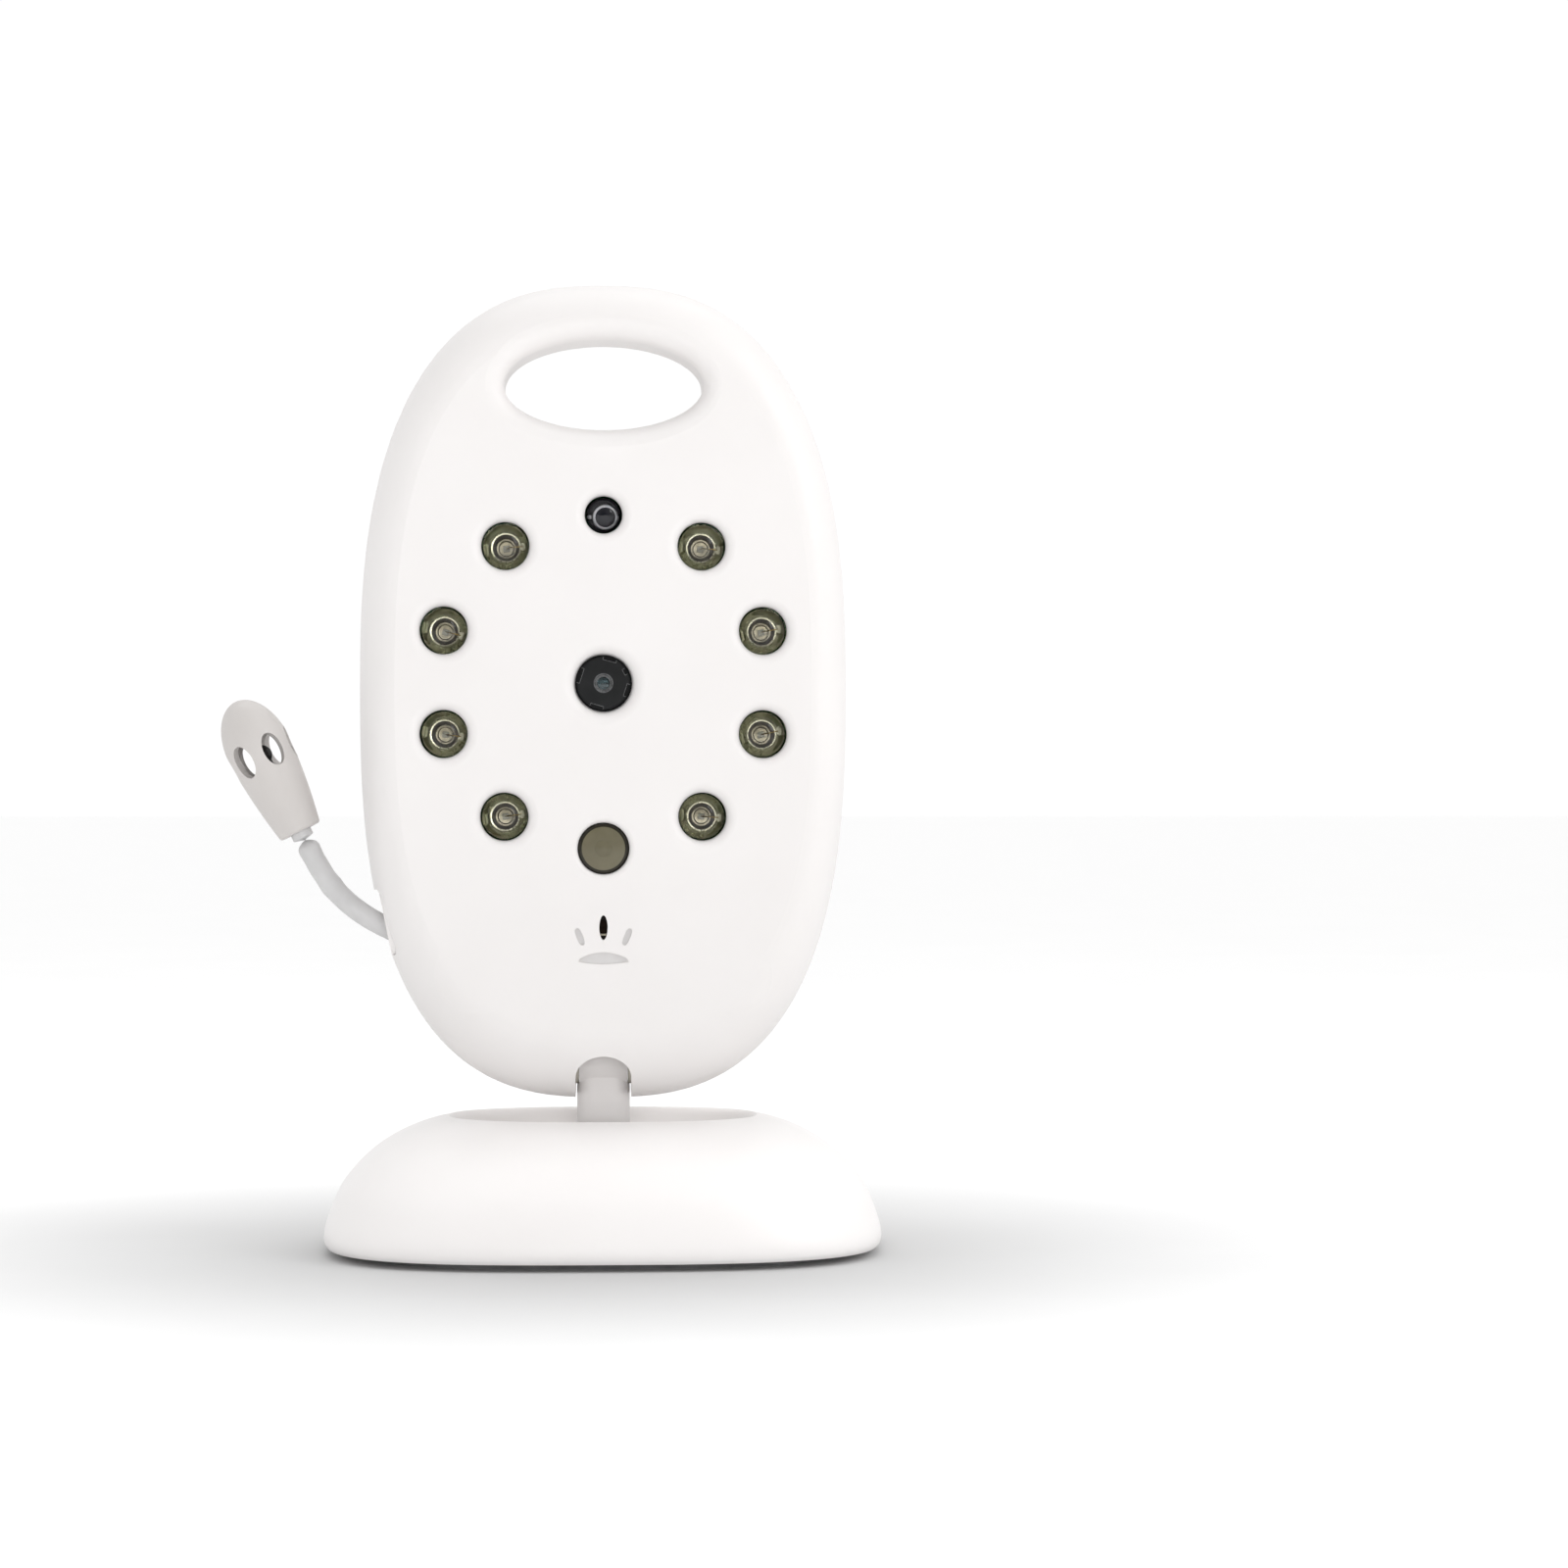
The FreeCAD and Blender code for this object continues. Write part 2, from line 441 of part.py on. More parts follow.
def status_window():
    """Light guide: a shallow dome with a small raised eye, a flange behind the wall and a tail."""
    stem = along_y(WINDOW_R, 0, WINDOW_Z, FRONT_Y - 1, INNER_FRONT_Y)
    stem = stem.common(Part.makeSphere(WINDOW_DOME_R, V(0, WINDOW_TIP_Y + WINDOW_DOME_R, WINDOW_Z)))
    circles = [edge for edge in stem.Edges if edge.BoundBox.XLength > 1.5 * WINDOW_R]
    stem = stem.makeFillet(WINDOW_EDGE, [min(circles, key=lambda edge: edge.BoundBox.YMin)])
    eye_r = (WINDOW_EYE_R ** 2 + WINDOW_EYE_RISE ** 2) / (2 * WINDOW_EYE_RISE)
    eye = Part.makeSphere(eye_r, V(0, WINDOW_TIP_Y - WINDOW_EYE_RISE + eye_r, WINDOW_Z))
    eye = eye.common(along_y(WINDOW_EYE_R, 0, WINDOW_Z, FRONT_Y - 1, WINDOW_TIP_Y + 0.5))
    flange = along_y(WINDOW_FLANGE_R, 0, WINDOW_Z, INNER_FRONT_Y + 0.02, INNER_FRONT_Y + WINDOW_FLANGE_T)
    tail = along_y(WINDOW_TAIL_R, 0, WINDOW_Z, INNER_FRONT_Y - 0.5, LED_BOARD_Y - WINDOW_TAIL_GAP)
    return joined(stem, [eye, flange, tail])


def status_led():
    half_x, half_z = STATUS_LED_HALF
    return block((-half_x, LED_BOARD_Y - STATUS_LED_T, WINDOW_Z - half_z),
                 (half_x, LED_BOARD_Y, WINDOW_Z + half_z))


def microphone():
    return along_y(MIC_CAN_R, 0, MIC_Z, MIC_CAN_FRONT_Y, MIC_CAN_BACK_Y)


def mic_boot():
    boot = along_y(MIC_RING_R - SEAT_GAP, 0, MIC_Z, INNER_FRONT_Y, BOOT_BACK_Y)
    return boot.cut([along_y(MIC_CAN_R, 0, MIC_Z, MIC_CAN_FRONT_Y, BOOT_BACK_Y),
                     along_y(MIC_PORT_R, 0, MIC_Z, INNER_FRONT_Y, BOOT_BACK_Y)])


PIN_GAP, BOARD_CORNER = 0.1, 5.0
SHIELD_HALF, SHIELD_Z, SHIELD_T, SHIELD_WALL, SHIELD_CORNER = 9.0, (68.5, 77.5), 2.4, 0.3, 0.8
CONNECTOR_X, CONNECTOR_Z = (9.0, 12.5), (47.0, 57.0)
ANTENNA_HALF, ANTENNA_Z, ANTENNA_T, ANTENNA_CORNER = 13.0, (74.5, 82.0), 0.8, 1.0


def led_board():
    half, up, down = LED_BOARD
    wire = superellipse(lambda u, v: V(u, LED_BOARD_Y, HEAD_Z + v), half, up, down,
                        UP_POWER, DOWN_POWER)
    board = Part.Face(wire).extrude(V(0, LED_BOARD_T, 0))
    cuts = [along_y(LENS_OPENING_R, 0, LENS_Z, -5, 5)]
    cuts += [along_y(STAKE_PIN_R + PIN_GAP, x, z, -5, 5) for x, z in mirrored(STAKES_FRONT)]
    return board.cut(cuts)


def main_board():
    half, low, high = MAIN_BOARD
    back = MAIN_BOARD_Y + MAIN_BOARD_T
    board = rounded_block((-half, MAIN_BOARD_Y, low), (half, back, high), BOARD_CORNER, Y_AXIS)
    return board.cut([along_y(STAKE_PIN_R + PIN_GAP, x, z, 0, 8) for x, z in mirrored(STAKES_BACK)])


def rf_shield():
    back, wall = MAIN_BOARD_Y + MAIN_BOARD_T, SHIELD_WALL
    half, low, high = SHIELD_HALF, *SHIELD_Z
    can = rounded_block((-half, back, low), (half, back + SHIELD_T, high), SHIELD_CORNER, Y_AXIS)
    return can.cut(block((wall - half, back, low + wall), (half - wall, back + SHIELD_T - wall, high - wall)))


def board_connector():
    return block((CONNECTOR_X[0], LED_BOARD_Y + LED_BOARD_T, CONNECTOR_Z[0]),
                 (CONNECTOR_X[1], MAIN_BOARD_Y, CONNECTOR_Z[1]))


def antenna():
    return rounded_block((-ANTENNA_HALF, MAIN_BOARD_Y - ANTENNA_T, ANTENNA_Z[0]),
                         (ANTENNA_HALF, MAIN_BOARD_Y, ANTENNA_Z[1]), ANTENNA_CORNER, Y_AXIS)


BASKET_T, MAGNET_R, CONE_MOUTH_R, CONE_THROAT_R, CONE_DEPTH = 2.4, 6.0, 8.8, 4.0, 1.4


def speaker():
    """Shallow round basket with a raised magnet at its back."""
    back = INNER_BACK_Y - 0.2
    basket = along_y(SPEAKER_R, 0, SPEAKER_Z, back - BASKET_T, back)
    magnet = along_y(MAGNET_R, 0, SPEAKER_Z, back - SPEAKER_T, back - BASKET_T)
    cone = Part.makeCone(CONE_MOUTH_R, CONE_THROAT_R, CONE_DEPTH, V(0, back, SPEAKER_Z), -Y_AXIS)
    return basket.fuse(magnet).cut(cone)


JACK_CORNER, JACK_BOX_BACK, JACK_MOUTH_BACK, JACK_PIN_BACK, JACK_FLOOR = 0.6, 0.7, 0.3, 1.8, 1.0


def dc_jack():
    """Socket with its mouth in the back face and a centre pin."""
    board = MAIN_BOARD_Y + MAIN_BOARD_T
    box = rounded_block((JACK_X - JACK_HALF, board, JACK_Z - JACK_HALF),
                        (JACK_X + JACK_HALF, INNER_BACK_Y - JACK_BOX_BACK, JACK_Z + JACK_HALF),
                        JACK_CORNER, Y_AXIS)
    nose = along_y(JACK_MOUTH_R - SEAT_GAP, JACK_X, JACK_Z, INNER_BACK_Y - 1, BACK_Y - JACK_MOUTH_BACK)
    bore = along_y(JACK_BORE_R, JACK_X, JACK_Z, board + JACK_FLOOR, BACK_Y + 1)
    pin = along_y(JACK_PIN_R, JACK_X, JACK_Z, board + JACK_FLOOR / 2, BACK_Y - JACK_PIN_BACK)
    return box.fuse(nose).cut(bore).fuse(pin)


SWITCH_TOP_Y, SWITCH_HALF, SWITCH_T, PLUNGER_R = 8.0, 3.0, 3.5, 1.7
BUTTON_DOME_R, BUTTON_RISE, BUTTON_FLANGE = 14.0, 0.7, (0.9, 0.7)
BUTTON_END_Y = SWITCH_TOP_Y + BUTTON_TRAVEL + 0.1


def pair_switch():
    back = MAIN_BOARD_Y + MAIN_BOARD_T
    low = (BUTTON_X - SWITCH_HALF, back, BUTTON_Z - SWITCH_HALF)
    high = (BUTTON_X + SWITCH_HALF, back + SWITCH_T, BUTTON_Z + SWITCH_HALF)
    return block(low, high).fuse(along_y(PLUNGER_R, BUTTON_X, BUTTON_Z, high[1], SWITCH_TOP_Y))


def pair_button():
    """Round cap with a slightly domed face and a flange that keeps it in the shell."""
    centre = V(BUTTON_X, BACK_Y + BUTTON_RISE - BUTTON_DOME_R, BUTTON_Z)
    cap = along_y(BUTTON_R, BUTTON_X, BUTTON_Z, BUTTON_END_Y, BACK_Y + 1.5)
    cap = cap.common(Part.makeSphere(BUTTON_DOME_R, centre))
    extra, thick = BUTTON_FLANGE
    stop = INNER_BACK_Y - 0.1
    return cap.fuse(along_y(BUTTON_R + extra, BUTTON_X, BUTTON_Z, stop - thick, stop))


# ---- temperature probe ---------------------------------------------------------------
def lead_path():
    end_way = (CAPSULE_TIP - LEAD_END).normalize()
    bend = Part.BSplineCurve()
    bend.interpolate([LEAD_START, LEAD_MIDDLE, LEAD_END], InitialTangent=LEAD_WAY, FinalTangent=end_way)
    tail, tip = LEAD_START - LEAD_WAY * LEAD_TAIL, LEAD_END + end_way * LEAD_TIP
    return Part.Wire([Part.makeLine(tail, LEAD_START), bend.toShape(), Part.makeLine(LEAD_END, tip)])


def lead_tube(radius):
    path = lead_path()
    edge = path.Edges[0]
    start = edge.Vertexes[0].Point
    circle = Part.Wire([Part.makeCircle(radius, start, edge.tangentAt(edge.FirstParameter))])
    return path.makePipeShell([circle], True, True)


def collar_block(grow, outward):
    """Rounded block sunk in the side of the head, its face along the chord of the outline."""
    half_y, half_z = COLLAR_HALF
    solid = rounded_block((-outward, -half_y - grow, -half_z - grow),
                          (COLLAR_DEPTH + grow, half_y + grow, half_z + grow), COLLAR_CORNER, X_AXIS)
    solid.rotate(V(), Y_AXIS, COLLAR_LEAN)
    solid.translate(COLLAR_FACE)
    return solid


def probe_collar():
    """Strain-relief block, clamped between the two shells."""
    return collar_block(0, 0).cut(lead_tube(LEAD_R + 0.02))


def capsule_place(solid):
    way = (CAPSULE_TIP - LEAD_END).normalize()
    solid.rotate(V(), Z_AXIS, VENT_TURN)
    solid.Placement = FreeCAD.Placement(LEAD_END, FreeCAD.Rotation(Z_AXIS, way)).multiply(solid.Placement)
    return solid


def drop(shrink, foot):
    """Drop-shaped solid about Z: widening from its neck, then closing with half an ellipsoid."""
    neck, wide, length = CAPSULE_NECK_R - shrink, CAPSULE_R - shrink, CAPSULE_LENGTH - shrink
    middle = V(neck + CAPSULE_BELLY * (wide - neck), 0, 0.5 * CAPSULE_WIDEST)
    side = Part.Arc(V(neck, 0, foot), middle, V(wide, 0, CAPSULE_WIDEST))
    tall = length - CAPSULE_WIDEST
    cap = Part.Ellipse(V(0, 0, CAPSULE_WIDEST + tall), V(wide, 0, CAPSULE_WIDEST), V(0, 0, CAPSULE_WIDEST))
    top = Part.ArcOfEllipse(cap, 0, math.pi / 2).toShape()
    ends = sorted([v.Point for v in top.Vertexes], key=lambda p: p.z)
    edges = [Part.makeLine(V(0, 0, foot), V(neck, 0, foot)), side.toShape(), top,
             Part.makeLine(ends[1], V(0, 0, foot))]
    solid = Part.Face(Part.Wire(Part.sortEdges(edges)[0])).revolve(V(), Z_AXIS, 360)
    rims = [e for e in solid.Edges if e.BoundBox.ZMax < foot + 0.01 and e.BoundBox.XLength > neck]
    return solid.makeFillet(CAPSULE_FOOT_EDGE, rims)


def capsule():
    shell = drop(0, 0).cut([drop(CAPSULE_WALL, CAPSULE_FLOOR), along_z(LEAD_R + SEAT_GAP, 0, 0, -1, 3)])
    vents = []
    for i in range(VENT_COUNT):
        vent = ellipse_prism(*VENT_HALF, 0, VENT_AT, -6, 0)
        vent.rotate(V(), Z_AXIS, 360 / VENT_COUNT * i)
        vents.append(vent)
    return shell.cut(vents)


def probe_capsules():
    """The two halves meet in a plane that holds the axis and passes through two of the vents."""
    whole = capsule()
    left = whole.common(block((-9, -9, -2), (0, 9, 20)))
    right = whole.common(block((0, -9, -2), (9, 9, 20)))
    return {"probe_capsule_left": capsule_place(left), "probe_capsule_right": capsule_place(right)}


BEAD_R, LEG_R, LEG_X, LEG_FOOT = 1.15, 0.35, 0.45, 1.1


def thermistor():
    """Dipped bead on its two sleeved legs."""
    bead = Part.makeSphere(BEAD_R, V(0, 0, VENT_AT))
    legs = [along_z(LEG_R, side * LEG_X, 0, LEG_FOOT, VENT_AT) for side in SIDES.values()]
    return capsule_place(bead.fuse(legs))


# ---- tilt and swivel -----------------------------------------------------------------
SWIVEL_SCREW_TIP, WASHER_EDGE, SWIVEL_WASHER_T = 11.8, 0.4, 0.9


def stem():
    """Knuckle, post and hub in one moulding, with a spigot that turns in the base."""
    half_x, half_y = POST_HALF
    post = rounded_block((-half_x, -half_y, HUB_TOP - 0.3), (half_x, half_y, PIVOT_Z), POST_CORNER, Z_AXIS)
    ends = [cylinder(WASHER_R + 0.3, V(side * KNUCKLE_HALF, 0, PIVOT_Z), V(side * half_x * 2, 0, PIVOT_Z))
            for side in SIDES.values()]
    knuckle = cylinder(KNUCKLE_R, V(-KNUCKLE_HALF, 0, PIVOT_Z), V(KNUCKLE_HALF, 0, PIVOT_Z))
    hub = along_z(HUB_R, 0, 0, DISH_FLOOR + SEAT_GAP, HUB_TOP)
    spigot = along_z(SPIGOT_R, 0, 0, BEARING_BOTTOM - 0.1, DISH_FLOOR + SEAT_GAP)
    body = joined(carved(post, ends), [knuckle, hub, spigot])
    bore = cylinder(TILT_BORE, V(-10, 0, PIVOT_Z), V(10, 0, PIVOT_Z))
    return carved(body, [bore, along_z(SCREW_R, 0, 0, 0, 12.0)])


def swivel_washer():
    top = BEARING_BOTTOM - 0.1
    disc = along_z(BEARING_R - WASHER_EDGE, 0, 0, top - SWIVEL_WASHER_T, top)
    return disc.cut(along_z(SCREW_R + SEAT_GAP, 0, 0, 0, top))


def swivel_screw():
    seat = BEARING_BOTTOM - 0.1 - SWIVEL_WASHER_T
    return screw(V(0, 0, seat), V(0, 0, SWIVEL_SCREW_TIP), V(0, 0, seat - SCREW_HEAD_T))


def friction_washer(side):
    outer, inner = side * NOTCH_HALF, side * (NOTCH_HALF - WASHER_T)
    ring = cylinder(WASHER_R, V(inner, 0, PIVOT_Z), V(outer, 0, PIVOT_Z))
    return ring.cut(cylinder(TILT_BORE, V(-8, 0, PIVOT_Z), V(8, 0, PIVOT_Z)))


NUT_T, NUT_FLATS, NUT_PROUD, TILT_HEAD_T = 1.8, 4.6, 0.4, 1.7


def tilt_screw():
    cheek = NOTCH_HALF + CHEEK
    seat, tip, top = cheek, -cheek - NUT_T - NUT_PROUD, cheek + TILT_HEAD_T
    return screw(V(seat, 0, PIVOT_Z), V(tip, 0, PIVOT_Z), V(top, 0, PIVOT_Z), TILT_SHAFT, TILT_HEAD_R)


def tilt_nut():
    cheek = NOTCH_HALF + CHEEK
    corners = []
    for i in range(7):
        angle = math.radians(60 * i)              # a flat side faces down, where the wall is close
        radius = NUT_FLATS / math.sqrt(3)
        corners.append(V(-cheek, radius * math.cos(angle), PIVOT_Z + radius * math.sin(angle)))
    nut = Part.Face(Part.makePolygon(corners)).extrude(V(-NUT_T, 0, 0))
    return nut.cut(cylinder(TILT_SHAFT, V(-12, 0, PIVOT_Z), V(0, 0, PIVOT_Z)))


# ---- base ----------------------------------------------------------------------------
def base_section(inset, z, power):
    return superellipse(lambda u, v: V(u, v, z), BASE_HALF[0] - inset, BASE_HALF[1] - inset,
                        BASE_HALF[1] - inset, power, power)


def base_body(wall):
    sections = [base_section(0.35 + wall, PAD_T, BASE_POWER)]
    steps = 7
    for i in range(steps + 1):
        share = i / steps
        angle = math.radians(RIM_ANGLE * share)
        power = BASE_POWER + (RIM_POWER - BASE_POWER) * share
        inset = BASE_CURVE[0] * (1 - math.cos(angle)) + wall
        sections.append(base_section(inset, BASE_CURVE_Z + (BASE_CURVE[1] - wall) * math.sin(angle), power))
    return Part.makeLoft(sections, True, False, False)


def rim_inset():
    return BASE_CURVE[0] * (1 - math.cos(math.radians(RIM_ANGLE)))


def dish():
    rings = [base_section(rim_inset() + inset, z, RIM_POWER) for inset, z in DISH_STEPS]
    return Part.makeLoft(rings, True, False, False)


def base_shell():
    outer = base_body(0)
    under_dish = Part.Face(base_section(rim_inset() - 1.0, DISH_FLOOR - BASE_WALL, RIM_POWER))
    shell = outer.cut(base_body(BASE_WALL).cut(under_dish.extrude(V(0, 0, 10))))
    adds = [outer.common(along_z(BASE_BOSS_R, x, y, PAD_T + PLATE_T, BASE_BOSS_TOP))
            for x, y in BASE_SCREWS]
    adds.append(along_z(BEARING_R, 0, 0, BEARING_BOTTOM, DISH_FLOOR - 0.5))
    cuts = [dish(), along_z(SWIVEL_BORE, 0, 0, 0, 20)]
    cuts += [along_z(SCREW_R - 0.1, x, y, 0, BASE_SCREW_TIP + 0.2) for x, y in BASE_SCREWS]
    return carved(joined(shell, adds), cuts)


def keyholes(z_low, z_high):
    """Two double-ended keyholes: a round entry for a screw's head in the middle of a slot."""
    cuts = []
    for side in SIDES.values():
        middle, reach = side * KEYHOLE_X, KEYHOLE_SLOT / 2 - KEYHOLE_HALF
        cuts.append(along_z(KEYHOLE_ENTRY, middle, 0, z_low, z_high))
        cuts.append(block((middle - reach, -KEYHOLE_HALF, z_low), (middle + reach, KEYHOLE_HALF, z_high)))
        cuts += [along_z(KEYHOLE_HALF, middle + end * reach, 0, z_low, z_high) for end in (-1, 1)]
    return cuts


def flat_oval(half_x, half_y, z_low, z_high):
    wire = superellipse(lambda u, v: V(u, v, z_low), half_x, half_y, half_y, BASE_POWER, BASE_POWER)
    return Part.Face(wire).extrude(V(0, 0, z_high - z_low))


def keyhole_rooms(half_x, half_y, z_low, z_high):
    """Rounded openings that leave the keyholes free."""
    return [rounded_block((side * KEYHOLE_X - half_x, -half_y, z_low),
                          (side * KEYHOLE_X + half_x, half_y, z_high), KEYHOLE_ROOM_CORNER, Z_AXIS)
            for side in SIDES.values()]


def base_pad():
    half_x, half_y = PLATE_HALF
    pad = flat_oval(half_x - PAD_INSET, half_y - PAD_INSET, 0, PAD_T)
    return pad.cut(keyhole_rooms(8.0, 5.2, -1, PAD_T + 1))


def base_plate():
    plate = flat_oval(*PLATE_HALF, PAD_T, PAD_T + PLATE_T)
    cuts = keyholes(0, 10)
    for x, y in BASE_SCREWS:
        cuts.append(along_z(SCREW_R + 0.1, x, y, 0, 10))
        cuts.append(along_z(SCREW_HEAD_R + 0.2, x, y, 0, PAD_T + BASE_SCREW_SEAT))
    return plate.cut(cuts)


def base_weight():
    low = PAD_T + PLATE_T
    weight = flat_oval(*WEIGHT_HALF, low, low + WEIGHT_T)
    cuts = [along_z(WEIGHT_BORE_R, 0, 0, 0, 10)]
    cuts += keyhole_rooms(8.5, 5.6, 0, 10)
    cuts += [along_z(BASE_BOSS_R + WEIGHT_GAP, x, y, 0, 10) for x, y in BASE_SCREWS]
    return weight.cut(cuts)


def base_screw(x, y):
    return screw(V(x, y, PAD_T + BASE_SCREW_SEAT), V(x, y, BASE_SCREW_TIP), V(x, y, PAD_T + 0.1),
                 SCREW_R - 0.1, SCREW_HEAD_R)


# ---- the whole camera ----------------------------------------------------------------
def shell_screw(x, z, seat):
    return screw(V(x, seat, z), V(x, SCREW_TIP, z), V(x, seat + SCREW_HEAD_T, z), SCREW_R - 0.1)


def build():
    nodes = {
        "base_shell": base_shell(), "base_plate": base_plate(), "base_weight": base_weight(),
        "base_pad": base_pad(), "stem": stem(), "swivel_washer": swivel_washer(),
        "swivel_screw": swivel_screw(), "front_shell": front_shell(), "rear_shell": back_shell(),
        "tilt_screw": tilt_screw(), "tilt_nut": tilt_nut(), "led_board": led_board(),
        "lens_barrel": lens_barrel(), "lens_glass": lens_glass(), "lens_holder": lens_holder(),
        "image_sensor": image_sensor(), "status_window": status_window(), "status_led": status_led(),
        "microphone": microphone(), "mic_boot": mic_boot(), "main_board": main_board(),
        "rf_shield": rf_shield(), "board_connector": board_connector(), "antenna": antenna(),
        "speaker": speaker(), "dc_jack": dc_jack(), "pair_switch": pair_switch(),
        "pair_button": pair_button(), "probe_lead": lead_tube(LEAD_R), "probe_collar": probe_collar(),
        "thermistor": thermistor(),
    }
    nodes["light_sensor"] = led(LIGHT_SENSOR_R, LIGHT_SENSOR_FLANGE_R, 0, SENSOR_Z, LED_TIP_Y, LED_BOARD_Y)
    nodes.update(probe_capsules())
    for name, side in SIDES.items():
        nodes[f"friction_washer_{name}"] = friction_washer(side)
    for i, (x, z) in enumerate(mirrored(LED_PLACES), 1):
        nodes[f"ir_led_{i}"] = led(LED_R, LED_FLANGE_R, x, z, LED_TIP_Y, LED_BOARD_Y)
    for i, (x, y) in enumerate(BASE_SCREWS, 1):
        nodes[f"base_screw_{i}"] = base_screw(x, y)
    low = [(x, z, SCREW_SEAT_LOW) for x, z in mirrored([SHELL_SCREWS_LOW])]
    high = [(x, z, SCREW_SEAT_HIGH) for x, z in mirrored([SHELL_SCREWS_HIGH])]
    for i, place in enumerate(low + high, 1):
        nodes[f"shell_screw_{i}"] = shell_screw(*place)
    return nodes


os.makedirs("parts", exist_ok=True)
for name, shape in build().items():
    print(f"{name:22s} valid {shape.isValid()} solids {len(shape.Solids)} volume {shape.Volume:.1f}")
    shape.exportStep(f"parts/{name}.step")
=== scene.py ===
import json
import math

import bmesh
import bpy
from mathutils import Matrix, Vector


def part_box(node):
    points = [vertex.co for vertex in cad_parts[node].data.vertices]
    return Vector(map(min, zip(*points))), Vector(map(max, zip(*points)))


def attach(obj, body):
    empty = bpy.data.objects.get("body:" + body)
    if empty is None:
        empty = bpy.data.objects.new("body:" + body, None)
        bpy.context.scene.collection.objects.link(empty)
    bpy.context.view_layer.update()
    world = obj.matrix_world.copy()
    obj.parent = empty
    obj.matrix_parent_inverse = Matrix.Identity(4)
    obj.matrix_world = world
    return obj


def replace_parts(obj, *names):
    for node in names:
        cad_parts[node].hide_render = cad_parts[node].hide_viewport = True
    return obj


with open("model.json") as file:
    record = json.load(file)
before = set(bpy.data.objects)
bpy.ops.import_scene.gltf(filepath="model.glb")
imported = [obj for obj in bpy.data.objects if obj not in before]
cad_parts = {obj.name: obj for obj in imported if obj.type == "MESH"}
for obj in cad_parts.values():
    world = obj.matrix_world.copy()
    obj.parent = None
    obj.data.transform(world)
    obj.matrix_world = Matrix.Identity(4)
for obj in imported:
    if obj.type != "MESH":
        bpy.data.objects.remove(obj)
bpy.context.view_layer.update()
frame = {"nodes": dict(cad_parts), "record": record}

# Sizes of details are in millimetres. Places are in metres, as in the frame.
MM = 0.001
NODES = frame["nodes"]


# ---------------------------------------------------------------- materials

def principled(name):
    """A new node material with a Principled shader, and the parts that the others need."""
    material = bpy.data.materials.new(name)
    material.use_nodes = True
    tree = material.node_tree
    shader = next(n for n in tree.nodes if n.type == "BSDF_PRINCIPLED")
    place = tree.nodes.new("ShaderNodeTexCoord").outputs["Object"]
    return material, tree, shader, place


def noise(tree, place, size_mm, detail=3.0, stretch=None):
    """Noise whose features are about size_mm across, optionally stretched along the axes."""
    if stretch:
        mapping = tree.nodes.new("ShaderNodeMapping")
        mapping.inputs["Scale"].default_value = stretch
        tree.links.new(place, mapping.inputs["Vector"])
        place = mapping.outputs["Vector"]
    node = tree.nodes.new("ShaderNodeTexNoise")
    node.inputs["Scale"].default_value = 1.0 / (size_mm * MM)
    node.inputs["Detail"].default_value = detail
    tree.links.new(place, node.inputs["Vector"])
    return node.outputs["Fac"]


def spread(tree, value, low, high, start=0.3, end=0.7):
    """The value from start to end, mapped to low to high."""
    node = tree.nodes.new("ShaderNodeMapRange")
    for socket, number in zip(("From Min", "From Max", "To Min", "To Max"), (start, end, low, high)):
        node.inputs[socket].default_value = number
    tree.links.new(value, node.inputs["Value"])
    return node.outputs["Result"]


def ramp(tree, value, stops):
    """Colours along a value, given as (position, colour) pairs."""
    node = tree.nodes.new("ShaderNodeValToRGB")
    elements = node.color_ramp.elements
    while len(elements) < len(stops):
        elements.new(0.5)
    for element, (position, colour) in zip(elements, stops):
        element.position = position
        element.color = (*colour, 1.0)
    tree.links.new(value, node.inputs["Fac"])
    return node.outputs["Color"]


def distance(tree, place):
    """How far a place is from the origin."""
    node = tree.nodes.new("ShaderNodeVectorMath")
    node.operation = "LENGTH"
    tree.links.new(place, node.inputs[0])
    return node.outputs["Value"]


def bumps(tree, shader, layers):
    """Layers of relief on the shader's normal: (height source, height in mm, strength) each."""
    normal = None
    for source, height_mm, strength in layers:
        node = tree.nodes.new("ShaderNodeBump")
        node.inputs["Distance"].default_value = height_mm * MM
        node.inputs["Strength"].default_value = strength
        tree.links.new(source, node.inputs["Height"])
        if normal:
            tree.links.new(normal, node.inputs["Normal"])
        normal = node.outputs["Normal"]
    tree.links.new(normal, shader.inputs["Normal"])


def surface(name, dark, light, blotch_mm, rough, grain_mm=0.12, grain_height_mm=0.004,
            stretch=None, **constants):
    """A moulded, painted or rolled surface: its colour drifts from dark to light over blotches,
    its roughness varies in its range, and it has a fine grain. Constants are shader inputs."""
    material, tree, shader, place = principled(name)
    drift = noise(tree, place, blotch_mm, 4.0, stretch)
    tree.links.new(ramp(tree, drift, [(0.3, dark), (0.7, light)]), shader.inputs["Base Color"])
    wear = noise(tree, place, blotch_mm * 0.35, 5.0, stretch)
    tree.links.new(spread(tree, wear, *rough), shader.inputs["Roughness"])
    grain = noise(tree, place, grain_mm, 2.0, stretch)
    swell = noise(tree, place, grain_mm * 9.0, 1.0)
    bumps(tree, shader, [(swell, grain_height_mm * 3.0, 0.25), (grain, grain_height_mm, 0.5)])
    for socket, number in constants.items():
        shader.inputs[socket.replace("_", " ")].default_value = number
    return material


